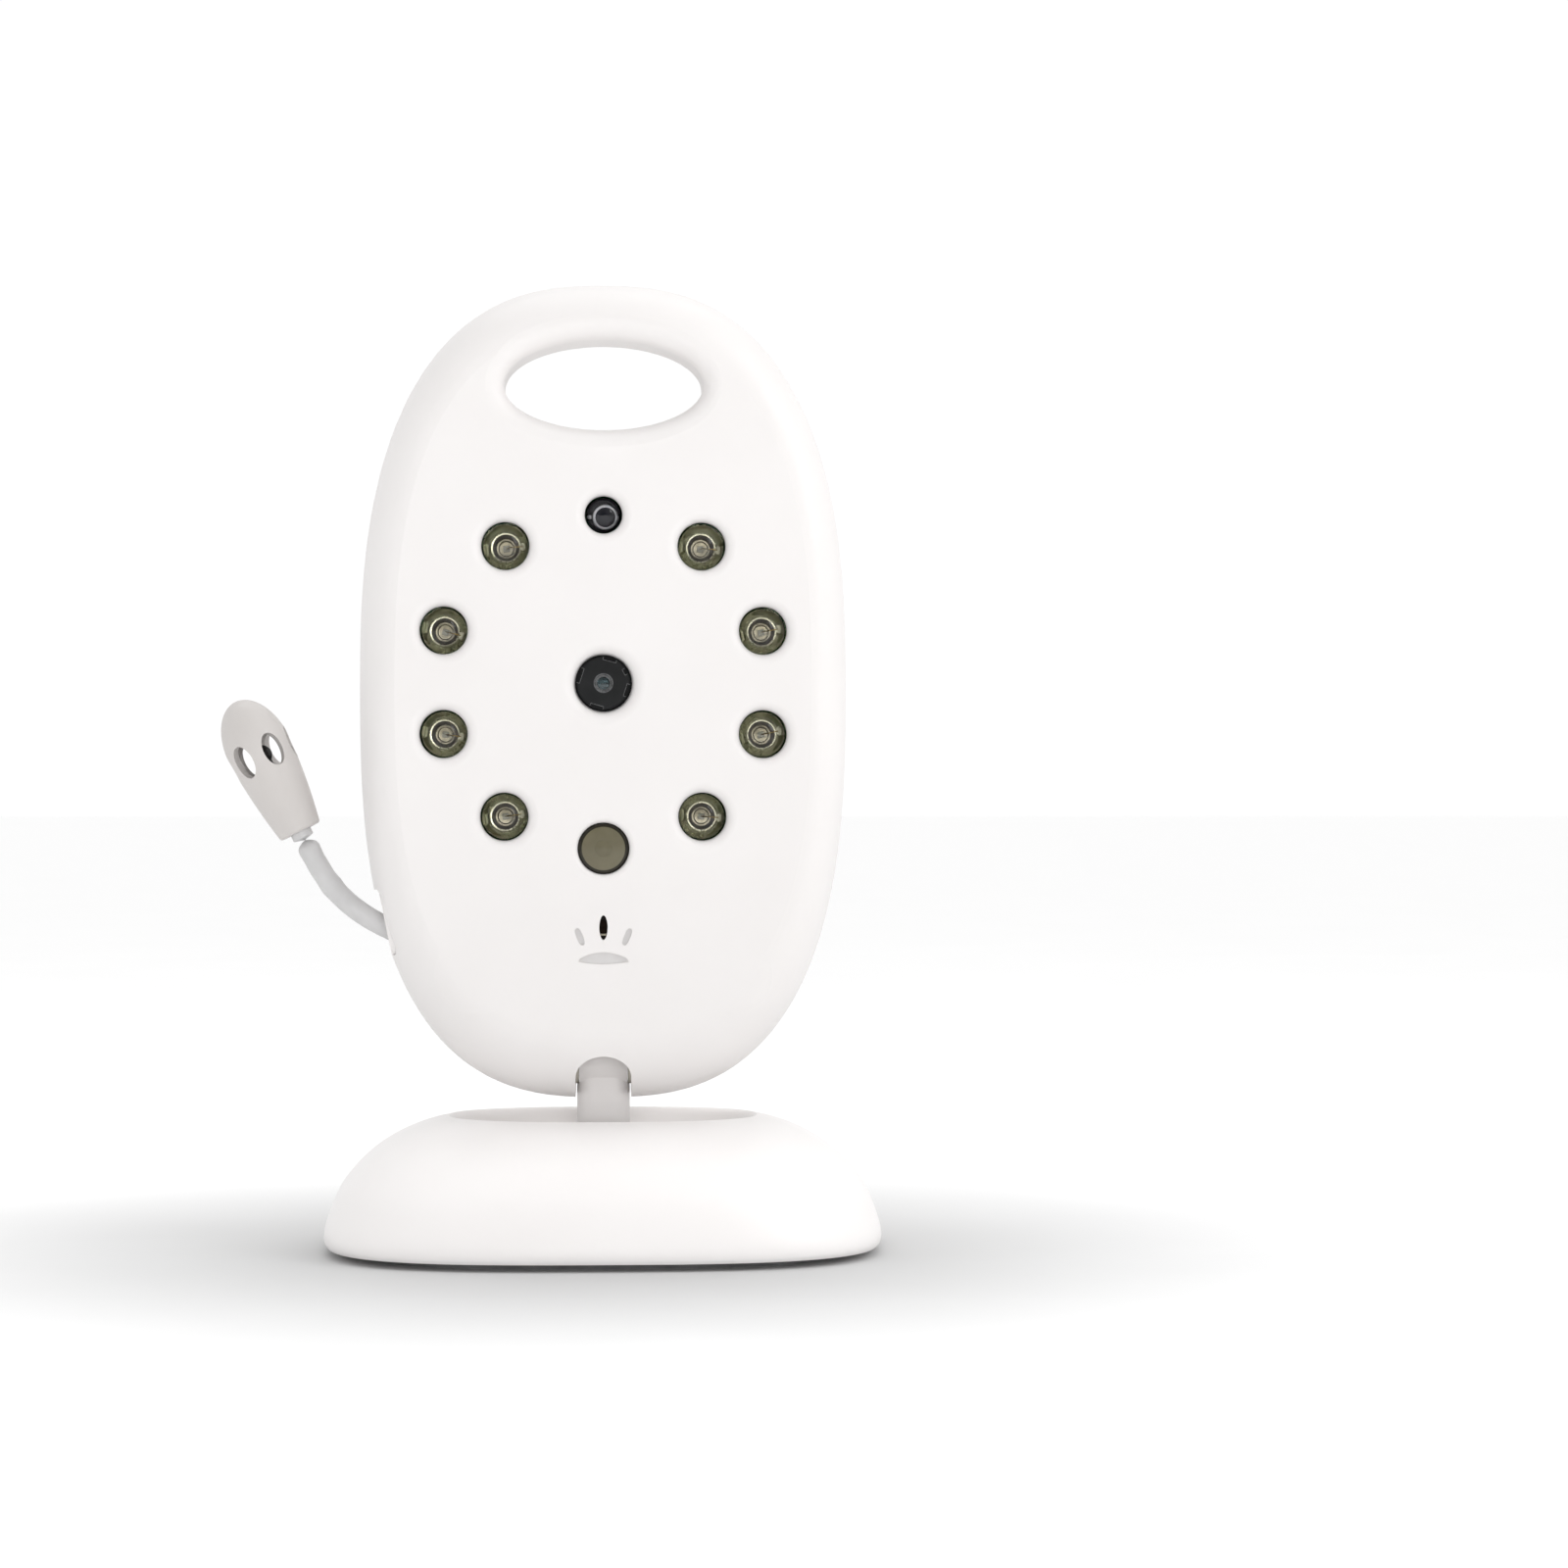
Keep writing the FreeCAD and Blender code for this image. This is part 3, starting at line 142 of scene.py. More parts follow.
def tinted(name, deep, pale, rough, ior, streak_mm, **constants):
    """A clear moulded body: its tint drifts a little and its surface is all but polished."""
    material, tree, shader, place = principled(name)
    drift = noise(tree, place, streak_mm, 3.0)
    tree.links.new(ramp(tree, drift, [(0.3, deep), (0.7, pale)]), shader.inputs["Base Color"])
    tree.links.new(spread(tree, noise(tree, place, streak_mm * 0.4), *rough), shader.inputs["Roughness"])
    shader.inputs["Transmission Weight"].default_value = 1.0
    shader.inputs["IOR"].default_value = ior
    for socket, number in constants.items():
        shader.inputs[socket.replace("_", " ")].default_value = number
    return material


# The nearly black band round the status window's rounded edge is painted shade, for the darker
# reflection on that edge.
WINDOW_Z, WINDOW_PAINTED_SHADE_R, WINDOW_PAINTED_SHADE_FADE = 45.0, 2.42, 0.06
WINDOW_PAINTED_SHADE_COLOUR = (0.018, 0.016, 0.010, 1.0)


def smoked_acrylic():
    """The status window: olive smoked acrylic, with a nearly black band painted round its rounded edge:
    painted shade standing in for the darker reflection there.
    """
    material = surface("smoked_acrylic", (0.120, 0.108, 0.068), (0.150, 0.136, 0.088), 2.5, (0.16, 0.26),
                       grain_mm=0.6, grain_height_mm=0.004, Specular_IOR_Level=0.35)
    tree = material.node_tree
    shader = tree.nodes["Principled BSDF"]
    place = tree.nodes.new("ShaderNodeTexCoord").outputs["Object"]
    flat = tree.nodes.new("ShaderNodeMapping")
    flat.inputs["Scale"].default_value = (1, 0, 1)
    flat.inputs["Location"].default_value = (0, 0, -WINDOW_Z * MM)
    tree.links.new(place, flat.inputs["Vector"])
    # Painted shade: the colour turns nearly black towards the window's edge.
    painted_edge_shade = spread(tree, distance(tree, flat.outputs["Vector"]), 0.0, 1.0,
                 (WINDOW_PAINTED_SHADE_R - WINDOW_PAINTED_SHADE_FADE) * MM, WINDOW_PAINTED_SHADE_R * MM)
    mix = tree.nodes.new("ShaderNodeMix")
    mix.data_type = "RGBA"
    tree.links.new(painted_edge_shade, mix.inputs["Factor"])
    tree.links.new(shader.inputs["Base Color"].links[0].from_socket, mix.inputs["A"])
    mix.inputs["B"].default_value = WINDOW_PAINTED_SHADE_COLOUR
    tree.links.new(mix.outputs["Result"], shader.inputs["Base Color"])
    return material


shell_white = surface("shell_abs", (0.762, 0.740, 0.730), (0.781, 0.760, 0.751), 14.0, (0.40, 0.50),
                      grain_mm=0.16, grain_height_mm=0.002)
# Painted light: the base's white is a lighter copy of the shell's white.
base_white_painted_light = surface("base_abs_painted_light", (0.860, 0.837, 0.827), (0.878, 0.856, 0.847), 14.0, (0.30, 0.40),
                     grain_mm=0.16, grain_height_mm=0.002)
# Painted shade: the probe capsule's white is a darker copy of the shell's white, matched to its shaded
# right side.
capsule_white_painted_shade = surface("capsule_abs_painted_shade", (0.560, 0.533, 0.515), (0.583, 0.557, 0.540), 6.0, (0.40, 0.50),
                        grain_mm=0.16, grain_height_mm=0.002)
LOOKS = {
    "shell_white": shell_white,
    "pad_rubber": surface("pad_rubber_sheet", (0.13, 0.13, 0.13), (0.20, 0.20, 0.20), 3.0,
                          (0.75, 0.92), grain_mm=0.25, grain_height_mm=0.02),
    "steel_plate": surface("pressed_steel", (0.42, 0.42, 0.43), (0.60, 0.60, 0.60), 6.0, (0.28, 0.45),
                           grain_mm=0.2, stretch=(0.15, 1.0, 1.0), Metallic=1.0),
    "screw_steel": surface("zinc_screw", (0.50, 0.50, 0.48), (0.72, 0.71, 0.68), 1.2, (0.22, 0.40),
                           grain_mm=0.1, Metallic=1.0),
    "board_green": surface("solder_mask", (0.008, 0.085, 0.030), (0.015, 0.150, 0.055), 4.0,
                           (0.25, 0.40), grain_mm=0.5, grain_height_mm=0.01),
    "lens_black": surface("lens_black_paint", (0.005, 0.0055, 0.006), (0.009, 0.0095, 0.010), 2.0,
                          (0.38, 0.52), grain_mm=0.08, grain_height_mm=0.003,
                          Specular_IOR_Level=0.3),
    "lens_glass": tinted("coated_glass", (0.10, 0.16, 0.17), (0.16, 0.22, 0.24), (0.0, 0.02), 1.52, 1.5,
                         Specular_IOR_Level=0.25),
    "sensor_dark": surface("sensor_body", (0.005, 0.005, 0.008), (0.010, 0.010, 0.014), 1.5, (0.3, 0.4),
                           Specular_IOR_Level=0.2),
    "smoked_window": smoked_acrylic(),
    "chip_clear": surface("chip_led", (0.75, 0.72, 0.55), (0.86, 0.84, 0.72), 0.6, (0.2, 0.35)),
    "can_aluminium": surface("microphone_can", (0.55, 0.55, 0.56), (0.75, 0.75, 0.75), 1.5, (0.3, 0.45),
                             Metallic=1.0),
    "boot_rubber": surface("microphone_boot", (0.006, 0.004, 0.003), (0.014, 0.009, 0.007), 0.8,
                           (0.6, 0.8)),
    "tin_can": surface("tinned_sheet", (0.50, 0.50, 0.48), (0.70, 0.70, 0.67), 3.0, (0.25, 0.42),
                       Metallic=1.0),
    "connector_plastic": surface("connector_plastic_black", (0.012, 0.012, 0.013), (0.028, 0.028, 0.03),
                                 1.5, (0.42, 0.58), grain_mm=0.2, grain_height_mm=0.006),
    "speaker_black": surface("speaker_cone", (0.010, 0.010, 0.011), (0.030, 0.030, 0.031), 1.2,
                             (0.6, 0.8), grain_mm=0.3, grain_height_mm=0.02),
    "button_grey": surface("button_satin", (0.47, 0.47, 0.475), (0.55, 0.55, 0.555), 4.0, (0.32, 0.42),
                           grain_mm=0.12, grain_height_mm=0.002),
    "lead_grey": surface("lead_jacket", (0.53, 0.525, 0.525), (0.60, 0.595, 0.595), 3.0, (0.34, 0.46),
                         grain_mm=0.2, grain_height_mm=0.004),
    "thermistor_black": surface("thermistor_epoxy", (0.006, 0.006, 0.006), (0.016, 0.015, 0.014), 0.8,
                                (0.18, 0.3)),
    "washer_nylon": surface("nylon_washer", (0.66, 0.63, 0.55), (0.74, 0.71, 0.63), 2.0, (0.4, 0.55)),
    "led_clear": tinted("led_epoxy", (0.66, 0.66, 0.50), (0.76, 0.76, 0.62), (0.0, 0.03), 1.50, 1.2),
}
led_silver = surface("led_frame_silver", (0.62, 0.60, 0.55), (0.88, 0.86, 0.80), 0.5, (0.22, 0.38),
                     grain_mm=0.1, Metallic=1.0)
led_die = surface("led_die", (0.02, 0.018, 0.02), (0.05, 0.045, 0.05), 0.1, (0.2, 0.3))
gold_wire = surface("bond_gold", (0.75, 0.52, 0.22), (0.90, 0.68, 0.35), 0.3, (0.2, 0.3), Metallic=1.0)

mic_felt = surface("microphone_felt", (0.012, 0.007, 0.004), (0.030, 0.018, 0.011), 0.3, (0.8, 0.95),
                   grain_mm=0.08, grain_height_mm=0.02)
mic_tape = surface("microphone_tape", (0.55, 0.50, 0.38), (0.70, 0.66, 0.52), 0.3, (0.5, 0.7))
# Lighter grey than the lens's black paint: on the mouth's lip and the notch edges it is in part a
# painted highlight of edges catching light, and their rounded shapes also catch real gloss.
satin_grey_and_painted_highlight = surface("lens_edge_satin_and_painted_highlight", (0.075, 0.077, 0.078), (0.150, 0.153, 0.155), 0.6, (0.22, 0.34))
cup_bronze = surface("led_cup_bronze", (0.105, 0.092, 0.080), (0.23, 0.205, 0.18), 0.22, (0.25, 0.40),
                     grain_mm=0.08, Metallic=0.5)
bed_olive = surface("led_bed_olive", (0.58, 0.62, 0.46), (0.85, 0.83, 0.66), 0.7, (0.35, 0.55))
flag_matte = surface("led_flag_silver", (0.78, 0.75, 0.68), (0.92, 0.90, 0.83), 0.3, (0.4, 0.5))
mark_grey = surface("mark_grey", (0.60, 0.585, 0.58), (0.64, 0.625, 0.62), 2.0, (0.5, 0.6))
smoked_epoxy = tinted("sensor_epoxy", (0.60, 0.60, 0.62), (0.70, 0.70, 0.72), (0.0, 0.03), 1.50, 1.2)
sensor_ring = surface("sensor_ring_grey", (0.62, 0.63, 0.66), (0.80, 0.80, 0.80), 0.5, (0.3, 0.45),
                      Metallic=0.2)
sensor_eye = surface("sensor_eye_navy", (0.003, 0.004, 0.010), (0.007, 0.007, 0.016), 0.5, (0.35, 0.5),
                     Specular_IOR_Level=0.1)
OWN_LOOKS = {"base_shell": base_white_painted_light, "probe_capsule_left": capsule_white_painted_shade,
             "probe_capsule_right": capsule_white_painted_shade}

for row in frame["record"]["subparts"]:
    node = NODES[row["node"]]
    node.data.materials.clear()
    node.data.materials.append(OWN_LOOKS.get(row["node"], LOOKS[row["material_slot"]]))


# ------------------------------------------------------------ mesh building

def add_turned(mesh, profile, x=0.0, z=0.0, count=64, along=0.0):
    """Adds a closed body turned about an axis along Y through (x, z). The profile is (radius,
    depth) pairs in mm, the depth grows to the back, and both ends are on the axis."""
    rings = []
    for radius, depth in profile:
        y = along + depth * MM
        if radius < 1e-6:
            rings.append([mesh.verts.new((x, y, z))])
            continue
        angles = [2 * math.pi * k / count for k in range(count)]
        rings.append([mesh.verts.new((x + radius * MM * math.cos(a), y, z + radius * MM * math.sin(a)))
                      for a in angles])
    for near, far in zip(rings, rings[1:]):
        for k in range(count):
            after = (k + 1) % count
            if len(near) == 1:
                corners = (near[0], far[k], far[after])
            elif len(far) == 1:
                corners = (near[k], far[0], near[after])
            else:
                corners = (near[k], far[k], far[after], near[after])
            mesh.faces.new(corners)


def add_ring(mesh, x, z, along, section, count=64):
    """Adds a closed ring turned about an axis along Y; section is its outline in (radius, depth)."""
    angles = [2 * math.pi * k / count for k in range(count)]
    rings = [[mesh.verts.new((x + radius * MM * math.cos(a), along + depth * MM,
                              z + radius * MM * math.sin(a))) for a in angles]
             for radius, depth in section]
    for near, far in zip(rings, rings[1:] + rings[:1]):
        for k in range(count):
            mesh.faces.new((near[k], near[(k + 1) % count], far[(k + 1) % count], far[k]))


def add_block(mesh, low, high, bevel_mm=0.05):
    """Adds a block with softened edges between two corners, in metres."""
    low, high = Vector(low), Vector(high)
    made = bmesh.ops.create_cube(mesh, size=1.0)["verts"]
    for v in made:
        v.co = Vector(((low + high) / 2)[k] + v.co[k] * (high - low)[k] for k in range(3))
    edges = list({e for v in made for e in v.link_edges})
    bmesh.ops.bevel(mesh, geom=edges, offset=bevel_mm * MM, segments=2, affect="EDGES")


def add_tube(mesh, points, radius_mm, count=10):
    """Adds a closed tube along a line of points in metres."""
    rings = []
    for k, point in enumerate(points):
        way = (points[min(k + 1, len(points) - 1)] - points[max(k - 1, 0)]).normalized()
        side = way.cross(Vector((0, 0, 1))).normalized()
        up = side.cross(way)
        rings.append([mesh.verts.new(point + radius_mm * MM * (side * math.cos(a) + up * math.sin(a)))
                      for a in (2 * math.pi * j / count for j in range(count))])
    for near, far in zip(rings, rings[1:]):
        for j in range(count):
            mesh.faces.new((near[j], near[(j + 1) % count], far[(j + 1) % count], far[j]))
    mesh.faces.new(rings[0][::-1])
    mesh.faces.new(rings[-1])


def add_plate(mesh, half, power, x, z, y, turn=0.0, down=None, count=60):
    """Adds a thin superellipse plate facing the front; down is the reach of its lower half."""
    turn = math.radians(turn)
    rings = []
    for depth in (0.0, 0.05):
        ring = []
        for k in range(count):
            c, s = math.cos(2 * math.pi * k / count), math.sin(2 * math.pi * k / count)
            reach = half[1] if s >= 0 or not down else down
            radius = (abs(c / half[0]) ** power + abs(s / reach) ** power) ** (-1 / power)
            u, v = radius * c, radius * s
            ring.append(mesh.verts.new((x + (u * math.cos(turn) + v * math.sin(turn)) * MM,
                                        y + depth * MM,
                                        z + (v * math.cos(turn) - u * math.sin(turn)) * MM)))
        rings.append(ring)
    near, far = rings
    mesh.faces.new(near)
    mesh.faces.new(far[::-1])
    for k in range(count):
        mesh.faces.new((near[k], near[(k + 1) % count], far[(k + 1) % count], far[k]))


def piece(name, mesh, material, body, smooth_deg=35.0):
    """Turns a bmesh into a piece of the object that rides on a body."""
    bmesh.ops.recalc_face_normals(mesh, faces=mesh.faces)
    for face in mesh.faces:
        face.smooth = True
    for edge in mesh.edges:
        edge.smooth = edge.is_manifold and edge.calc_face_angle(0.0) < math.radians(smooth_deg)
    data = bpy.data.meshes.new(name)
    mesh.to_mesh(data)
    mesh.free()
    data.materials.append(material)
    made = bpy.data.objects.new(name, data)
    bpy.context.scene.collection.objects.link(made)
    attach(made, body)
    return made


def turned_about(mesh, x, z, degrees):
    """Turns the whole bmesh about an axis along Y through (x, z)."""
    centre = Vector((x, 0, z))
    bmesh.ops.rotate(mesh, verts=mesh.verts, cent=centre,
                     matrix=Matrix.Rotation(math.radians(degrees), 3, "Y"))


def front_of(node):
    """The x and z of a node's middle and the y of its front."""
    low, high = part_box(node)
    return (low.x + high.x) / 2, (low.z + high.z) / 2, low.y


def dome_arc(radius, steps=14):
    """The quarter circle from a dome's tip to its side, as (radius, depth) pairs."""
    angles = [math.pi / 2 * k / steps for k in range(steps + 1)]
    return [(radius * math.sin(a), radius * (1 - math.cos(a))) for a in angles]


# ------------------------------------------------------------ infrared LEDs

LED_R, LED_FLANGE_R, LED_LENGTH, LED_FLANGE_T, LED_EDGE = 2.5, 2.9, 8.56, 1.0, 0.05
LED_TURNS = (6, -4, -10, 14, -12, 8, 4, -8)           # how far each is turned in its hole, degrees
# What is inside the dome. Profiles are (radius, depth) pairs, and blocks are two opposite
# corners (across, depth, up), with the depth from the dome's tip.
LED_CUP = [(0, 4.2), (0.36, 4.2), (0.50, 4.1), (0.78, 3.60), (0.785, 3.50), (0.86, 3.50),
           (0.87, 3.72), (0.72, 4.45), (0.40, 4.75), (0, 4.8)]
LED_BOWL = [(0, 4.15), (0.34, 4.15), (0.40, 4.05), (0.48, 4.05), (0.53, 3.97), (0.77, 3.54)]
LED_BOWL_T = 0.04
LED_BED = [(0, 5.0), (2.3, 5.0), (2.44, 5.1), (2.44, 5.3), (0, 5.3)]
LED_CUP_POST = (-0.35, 4.6, -0.25), (0.35, 8.4, 0.25)
LED_WIRE_POST = (0.95, 3.90, -0.16), (1.15, 8.4, 0.16)
LED_DULL_FLAG = (-1.05, 3.80, -0.30), (-0.89, 5.1, 0.30)
LED_BRIGHT_FLAG = (0.91, 3.30, -0.24), (1.19, 3.92, 0.24)
LED_DIE, LED_DIE_EDGE = ((-0.16, 4.00, -0.16), (0.16, 4.16, 0.16)), 0.02
LED_WIRE = [(0.02, 4.00), (0.05, 3.55), (0.25, 3.26), (0.60, 3.14), (0.90, 3.18), (1.02, 3.31)]
LED_WIRE_R = 0.03


def led(index, turn):
    """One 5 mm LED: the clear body, the lead frame with its cup, and the die with its wire."""
    name = f"ir_led_{index}"
    x, z, tip = front_of(name)

    def at(dx, depth, dz):
        return Vector((x + dx * MM, tip + depth * MM, z + dz * MM))

    def inner(part, mesh, material):
        turned_about(mesh, x, z, turn)
        piece(f"{name}_{part}", mesh, material, "head")

    body = bmesh.new()
    step = LED_LENGTH - LED_FLANGE_T
    add_turned(body, dome_arc(LED_R) + [(LED_R, step - LED_EDGE), (LED_FLANGE_R, step),
                                        (LED_FLANGE_R, LED_LENGTH), (0, LED_LENGTH)], x, z, 72, tip)
    made = piece(f"{name}_body", body, LOOKS["led_clear"], "head")
    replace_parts(made, name)

    metal = bmesh.new()
    add_turned(metal, LED_CUP, x, z, 48, tip)
    for low, high in (LED_CUP_POST, LED_WIRE_POST):
        add_block(metal, at(*low), at(*high))
    inner("frame", metal, led_silver)

    bowl = bmesh.new()
    add_turned(bowl, LED_BOWL + [(radius, depth + LED_BOWL_T) for radius, depth in LED_BOWL[::-1]],
               x, z, 48, tip)
    piece(f"{name}_bowl", bowl, cup_bronze, "head")

    bed = bmesh.new()
    add_turned(bed, LED_BED, x, z, 48, tip)
    add_block(bed, at(*LED_DULL_FLAG[0]), at(*LED_DULL_FLAG[1]))
    inner("bed", bed, bed_olive)

    flag = bmesh.new()
    add_block(flag, at(*LED_BRIGHT_FLAG[0]), at(*LED_BRIGHT_FLAG[1]))
    inner("flag", flag, flag_matte)

    die = bmesh.new()
    add_block(die, at(*LED_DIE[0]), at(*LED_DIE[1]), LED_DIE_EDGE)
    inner("die", die, led_die)

    wire = bmesh.new()
    add_tube(wire, [at(dx, depth, 0.0) for dx, depth in LED_WIRE], LED_WIRE_R, 8)
    inner("wire", wire, gold_wire)


for number, turn in enumerate(LED_TURNS, 1):
    led(number, turn)


# ------------------------------------------------------------- light sensor

SENSOR_R = 1.95
SENSOR_FLANGE = [(SENSOR_R, 7.5), (2.3, 7.55), (2.3, 8.56), (0, 8.56)]
SENSOR_CORE = [(0, 1.9), (1.55, 1.9), (1.7, 2.1), (1.75, 7.0), (0, 7.0)]
# The ring and the eye inside it sit a little off the axis: across and up.
SENSOR_OFFSET = (0.17, -0.18)
RING_IN, RING_OUT, RING_FACE, RING_BACK = 0.85, 1.04, 1.55, 1.85
# The flag and the bar beside the ring: left, right, bottom and top, and the softened edge.
SENSOR_TABS = [(-1.62, -1.20, -0.12, 0.20, 0.03), (1.08, 1.16, -0.28, 0.14, 0.02)]
SENSOR_EYE = [(0, 1.66), (0.3, 1.67), (0.6, 1.70), (0.82, 1.75), (0.84, 1.88), (0, 1.88)]


def sensor():
    """The light sensor: a smoked dome over a black inner body with a grey ring, flag and bar."""
    x, z, tip = front_of("light_sensor")
    body = bmesh.new()
    add_turned(body, dome_arc(SENSOR_R) + SENSOR_FLANGE, x, z, 64, tip)
    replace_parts(piece("light_sensor_body", body, smoked_epoxy, "head"), "light_sensor")
    core = bmesh.new()
    add_turned(core, SENSOR_CORE, x, z, 48, tip)
    piece("light_sensor_core", core, LOOKS["sensor_dark"], "head")
    x, z = x + SENSOR_OFFSET[0] * MM, z + SENSOR_OFFSET[1] * MM
    ring = bmesh.new()
    add_ring(ring, x, z, tip, [(RING_IN, RING_FACE), (RING_OUT, RING_FACE), (RING_OUT, RING_BACK),
                               (RING_IN, RING_BACK)])
    for left, right, bottom, top, edge in SENSOR_TABS:
        add_block(ring, (x + left * MM, tip + RING_FACE * MM, z + bottom * MM),
                  (x + right * MM, tip + RING_BACK * MM, z + top * MM), edge)
    piece("light_sensor_ring", ring, sensor_ring, "head")
    eye = bmesh.new()
    add_turned(eye, SENSOR_EYE, x, z, 48, tip)
    piece("light_sensor_eye", eye, sensor_eye, "head")


sensor()


# ------------------------------------------- lens, microphone and stem details

LENS_NOTCHES = [(162, 1.7), (75, 1.5), (28, 0.7), (-17, 1.4), (-106, 1.5)]    # degrees, width
NOTCH_IN, NOTCH_OUT, NOTCH_EDGE_R, NOTCH_EDGE_RISE = 2.5, 2.82, 0.03, 0.005
LENS_LIP = [(0.90, 0.14), (1.00, 0.03), (1.04, -0.01), (1.08, 0.0), (1.06, 0.05), (0.92, 0.20)]
LENS_BAFFLE = [(0.69, 0.42), (0.73, 0.38), (0.76, 0.42), (0.89, 0.40), (0.89, 0.47), (0.69, 0.47)]
FELT = [(0, -0.12), (0.6, -0.10), (0.78, -0.06), (0.78, -0.005), (0, -0.005)]
TAPE_HALF, TAPE_LOW, TAPE_HIGH = 0.33, -0.93, -0.73
TAPE_FRONT, TAPE_BACK, TAPE_EDGE = -0.06, -0.005, 0.02
MARK_DEPTH = 0.31                             # from the front face to the fill of the recesses
ARC_Z, ARC_HALF, ARC_DOWN, ARC_POWER = 32.67, (2.72, 0.93), 0.37, 1.6
RAY_X, RAY_Z, RAY_HALF, RAY_POWER, RAY_TILT = 2.6, 35.3, (0.33, 0.96), 2.8, 22.0
# The stem's mould line: left, right, bottom and top, its rise above the post and its root.
LINE_SPAN, LINE_RISE, LINE_ROOT, LINE_EDGE = (-0.25, -0.15, 13.15, 18.6), 0.035, 0.02, 0.015
POST_FRONT = -2.9


def lens_details():
    """A satin lip round the lens's mouth, a baffle behind it, and thin lighter grey tubes along the
    edges of its notches, whose lighter grey is a painted highlight of the edges catching light.
    """
    x, z, front = front_of("lens_barrel")
    for name, section in (("lens_mouth_lip", LENS_LIP), ("lens_baffle", LENS_BAFFLE)):
        mesh = bmesh.new()
        add_ring(mesh, x, z, front, section)
        piece(name, mesh, satin_grey_and_painted_highlight, "head")
    # Thin lighter grey tubes on the notch edges: painted highlight of the edges catching light.
    edges = bmesh.new()
    for degrees, width in LENS_NOTCHES:
        outline = [(NOTCH_OUT, -width / 2), (NOTCH_IN, -width / 2), (NOTCH_IN, width / 2),
                   (NOTCH_OUT, width / 2)]
        angle = math.radians(degrees)
        points = [Vector((x + (r * math.cos(angle) - t * math.sin(angle)) * MM,
                          front - NOTCH_EDGE_RISE * MM,
                          z + (r * math.sin(angle) + t * math.cos(angle)) * MM)) for r, t in outline]
        for start, end in zip(points, points[1:]):
            add_tube(edges, [start, (start + end) / 2, end], NOTCH_EDGE_R, 8)
    piece("lens_notch_edges", edges, satin_grey_and_painted_highlight, "head")


def microphone_details():
    """The felt over the microphone's port, and the edge of the tape that holds the boot."""
    x, z, front = front_of("microphone")
    felt = bmesh.new()
    add_turned(felt, FELT, x, z, 40, front)
    piece("microphone_felt", felt, mic_felt, "head")
    boot = front_of("mic_boot")[2]
    tape = bmesh.new()
    add_block(tape, (x - TAPE_HALF * MM, boot + TAPE_FRONT * MM, z + TAPE_LOW * MM),
              (x + TAPE_HALF * MM, boot + TAPE_BACK * MM, z + TAPE_HIGH * MM), TAPE_EDGE)
    piece("microphone_tape", tape, mic_tape, "head")


def microphone_marks():
    """The grey fill of the decorative recesses round the microphone's slit."""
    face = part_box("front_shell")[0].y + MARK_DEPTH * MM
    arc = bmesh.new()
    add_plate(arc, ARC_HALF, ARC_POWER, 0.0, ARC_Z * MM, face, down=ARC_DOWN)
    piece("microphone_arc", arc, mark_grey, "head")
    rays = bmesh.new()
    for side in (-1, 1):
        add_plate(rays, RAY_HALF, RAY_POWER, side * RAY_X * MM, RAY_Z * MM, face, turn=side * RAY_TILT)
    piece("microphone_rays", rays, mark_grey, "head")


def stem_mould_line():
    """The fine raised line where the two sides of the stem's mould meet."""
    left, right, bottom, top = LINE_SPAN
    line = bmesh.new()
    add_block(line, (left * MM, (POST_FRONT - LINE_RISE) * MM, bottom * MM),
              (right * MM, (POST_FRONT + LINE_ROOT) * MM, top * MM), LINE_EDGE)
    piece("stem_mould_line", line, shell_white, "stem")


lens_details()
microphone_details()
microphone_marks()
stem_mould_line()


# --------------------------------------------------- floor, light and camera

FLOOR_SIZE = 6.0
# The floor's own light grows from none to its full strength between two distances from the object, so
# the floor near the object is darker: a painted shadow round it.
FLOOR_GLOW_PAST_PAINTED_SHADOW, PAINTED_SHADOW_FADE_START, PAINTED_SHADOW_FADE_END = 0.42, 0.030, 0.100
# Strength of the sky on the camera's side and behind the object, and how much of it is left
# in the patch where the camera stands.
SKY_FRONT, SKY_BACK, SKY_PATCH = 0.25, 1.02, 0.3
SKY_TURNS, PATCH_TURNS = (-0.85, -0.3), (-0.965, -0.90)
LIGHT_AIM = (0.0, 0.0, 0.055)
# Name, place, size, power, and whether it leaves a reflection of its own.
LIGHTS = [("fill", (0.03, -0.60, 0.03), 0.30, 2.2, False),
          ("key", (0.30, -0.16, 0.28), 0.22, 0.35, True),
          ("top", (0.0, 0.14, 0.50), 0.40, 0.45, True)]
CAMERA_PLACE, CAMERA_TURN, CAMERA_LENS, CAMERA_SENSOR = (0.0, -0.450, 0.0521), -2.59, 91.63, 36.0
CAMERA_NEAR, CAMERA_FAR = 0.01, 50.0


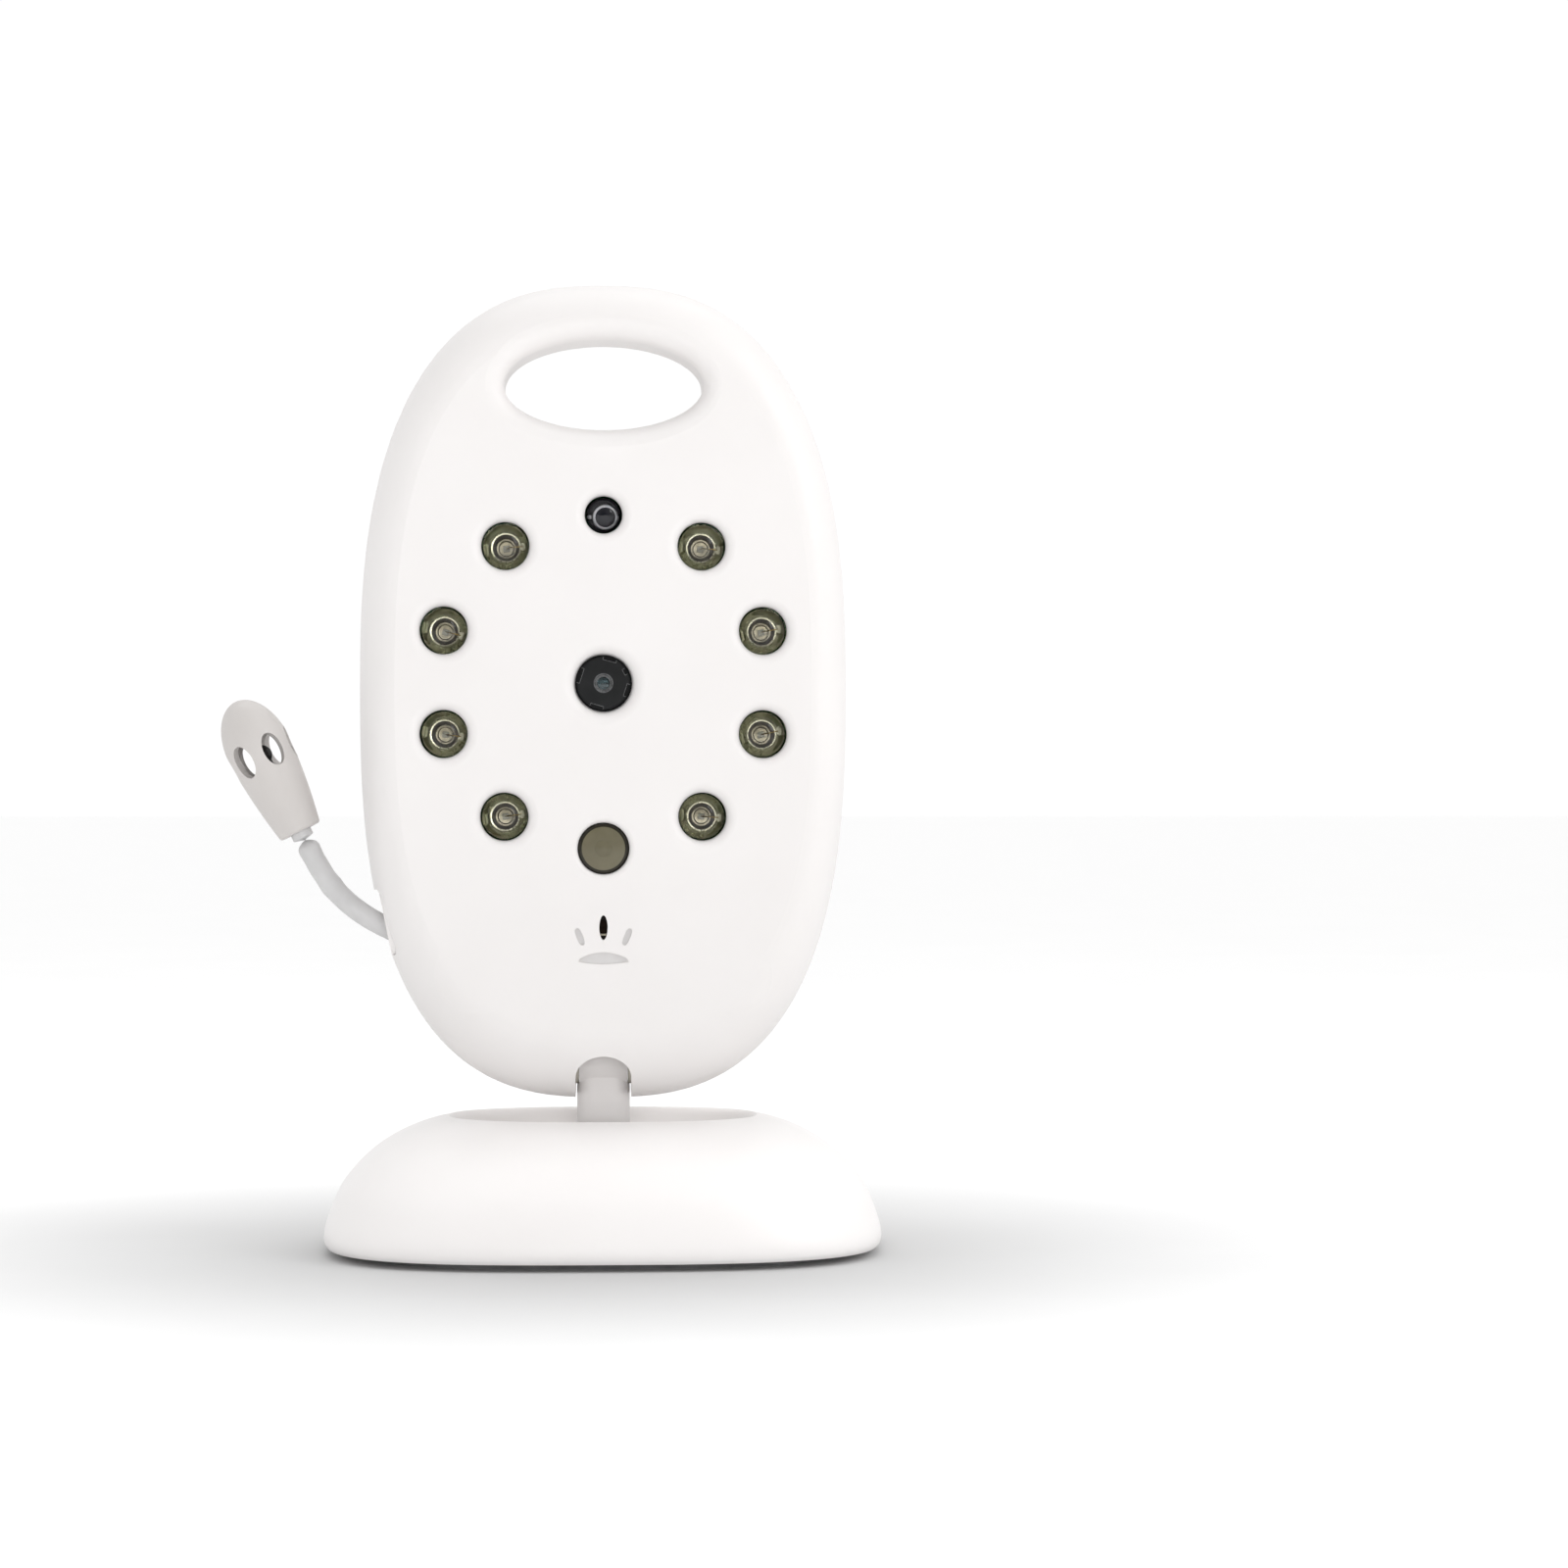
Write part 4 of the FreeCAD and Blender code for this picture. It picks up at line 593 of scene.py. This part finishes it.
def stage_floor():
    """A plain pale floor far wider than the view, which glows away from the object and not near it, so a
    painted shadow lies round the object.
    """
    mesh = bmesh.new()
    bmesh.ops.create_grid(mesh, x_segments=8, y_segments=8, size=FLOOR_SIZE)
    data = bpy.data.meshes.new("floor")
    mesh.to_mesh(data)
    mesh.free()
    floor = bpy.data.objects.new("floor", data)
    bpy.context.scene.collection.objects.link(floor)
    material = surface("floor_paper", (0.59, 0.59, 0.59), (0.61, 0.61, 0.61), 40.0, (0.85, 0.95),
                       grain_mm=1.0, grain_height_mm=0.01, Specular_IOR_Level=0.1)
    tree = material.node_tree
    shader = tree.nodes["Principled BSDF"]
    shader.inputs["Emission Color"].default_value = (1, 1, 1, 1)
    place = tree.nodes.new("ShaderNodeTexCoord").outputs["Object"]
    # Painted shadow: the floor glows not at all near the object and fully far from it.
    painted_shadow_glow = spread(tree, distance(tree, place), 0.0, FLOOR_GLOW_PAST_PAINTED_SHADOW, PAINTED_SHADOW_FADE_START, PAINTED_SHADOW_FADE_END)
    tree.links.new(painted_shadow_glow, shader.inputs["Emission Strength"])
    data.materials.append(material)


def area_light(name, place, size, power, glossy):
    """A square softbox aimed at the object."""
    lamp = bpy.data.lights.new(name, "AREA")
    lamp.shape = "SQUARE"
    lamp.size = size
    lamp.energy = power
    made = bpy.data.objects.new(name, lamp)
    made.location = place
    made.rotation_euler = (Vector(LIGHT_AIM) - Vector(place)).to_track_quat("-Z", "Y").to_euler()
    made.visible_glossy = glossy
    bpy.context.scene.collection.objects.link(made)


def sky():
    """White surroundings, dimmer behind the camera, with a dark patch where it stands."""
    world = bpy.data.worlds.new("studio")
    world.use_nodes = True
    tree = world.node_tree
    split = tree.nodes.new("ShaderNodeSeparateXYZ")
    tree.links.new(tree.nodes.new("ShaderNodeTexCoord").outputs["Generated"], split.inputs["Vector"])
    frontal = spread(tree, split.outputs["Y"], SKY_FRONT, SKY_BACK, *SKY_TURNS)
    patch = spread(tree, split.outputs["Y"], SKY_PATCH, 1.0, *PATCH_TURNS)
    level = tree.nodes.new("ShaderNodeMath")
    level.operation = "MULTIPLY"
    tree.links.new(frontal, level.inputs[0])
    tree.links.new(patch, level.inputs[1])
    tree.links.new(level.outputs["Value"], tree.nodes["Background"].inputs["Strength"])
    tree.nodes["Background"].inputs["Color"].default_value = (1, 1, 1, 1)
    bpy.context.scene.world = world


def camera():
    """A long lens in front of the object, level with its middle and turned a little to the right."""
    lens = bpy.data.cameras.new("camera")
    lens.sensor_width = CAMERA_SENSOR
    lens.lens = CAMERA_LENS
    lens.clip_start, lens.clip_end = CAMERA_NEAR, CAMERA_FAR
    made = bpy.data.objects.new("camera", lens)
    made.location = CAMERA_PLACE
    made.rotation_euler = (math.radians(90), 0, math.radians(CAMERA_TURN))
    bpy.context.scene.collection.objects.link(made)
    bpy.context.scene.camera = made


stage_floor()
sky()
for light in LIGHTS:
    area_light(*light)
camera()
bpy.context.scene.view_settings.view_transform = "Standard"
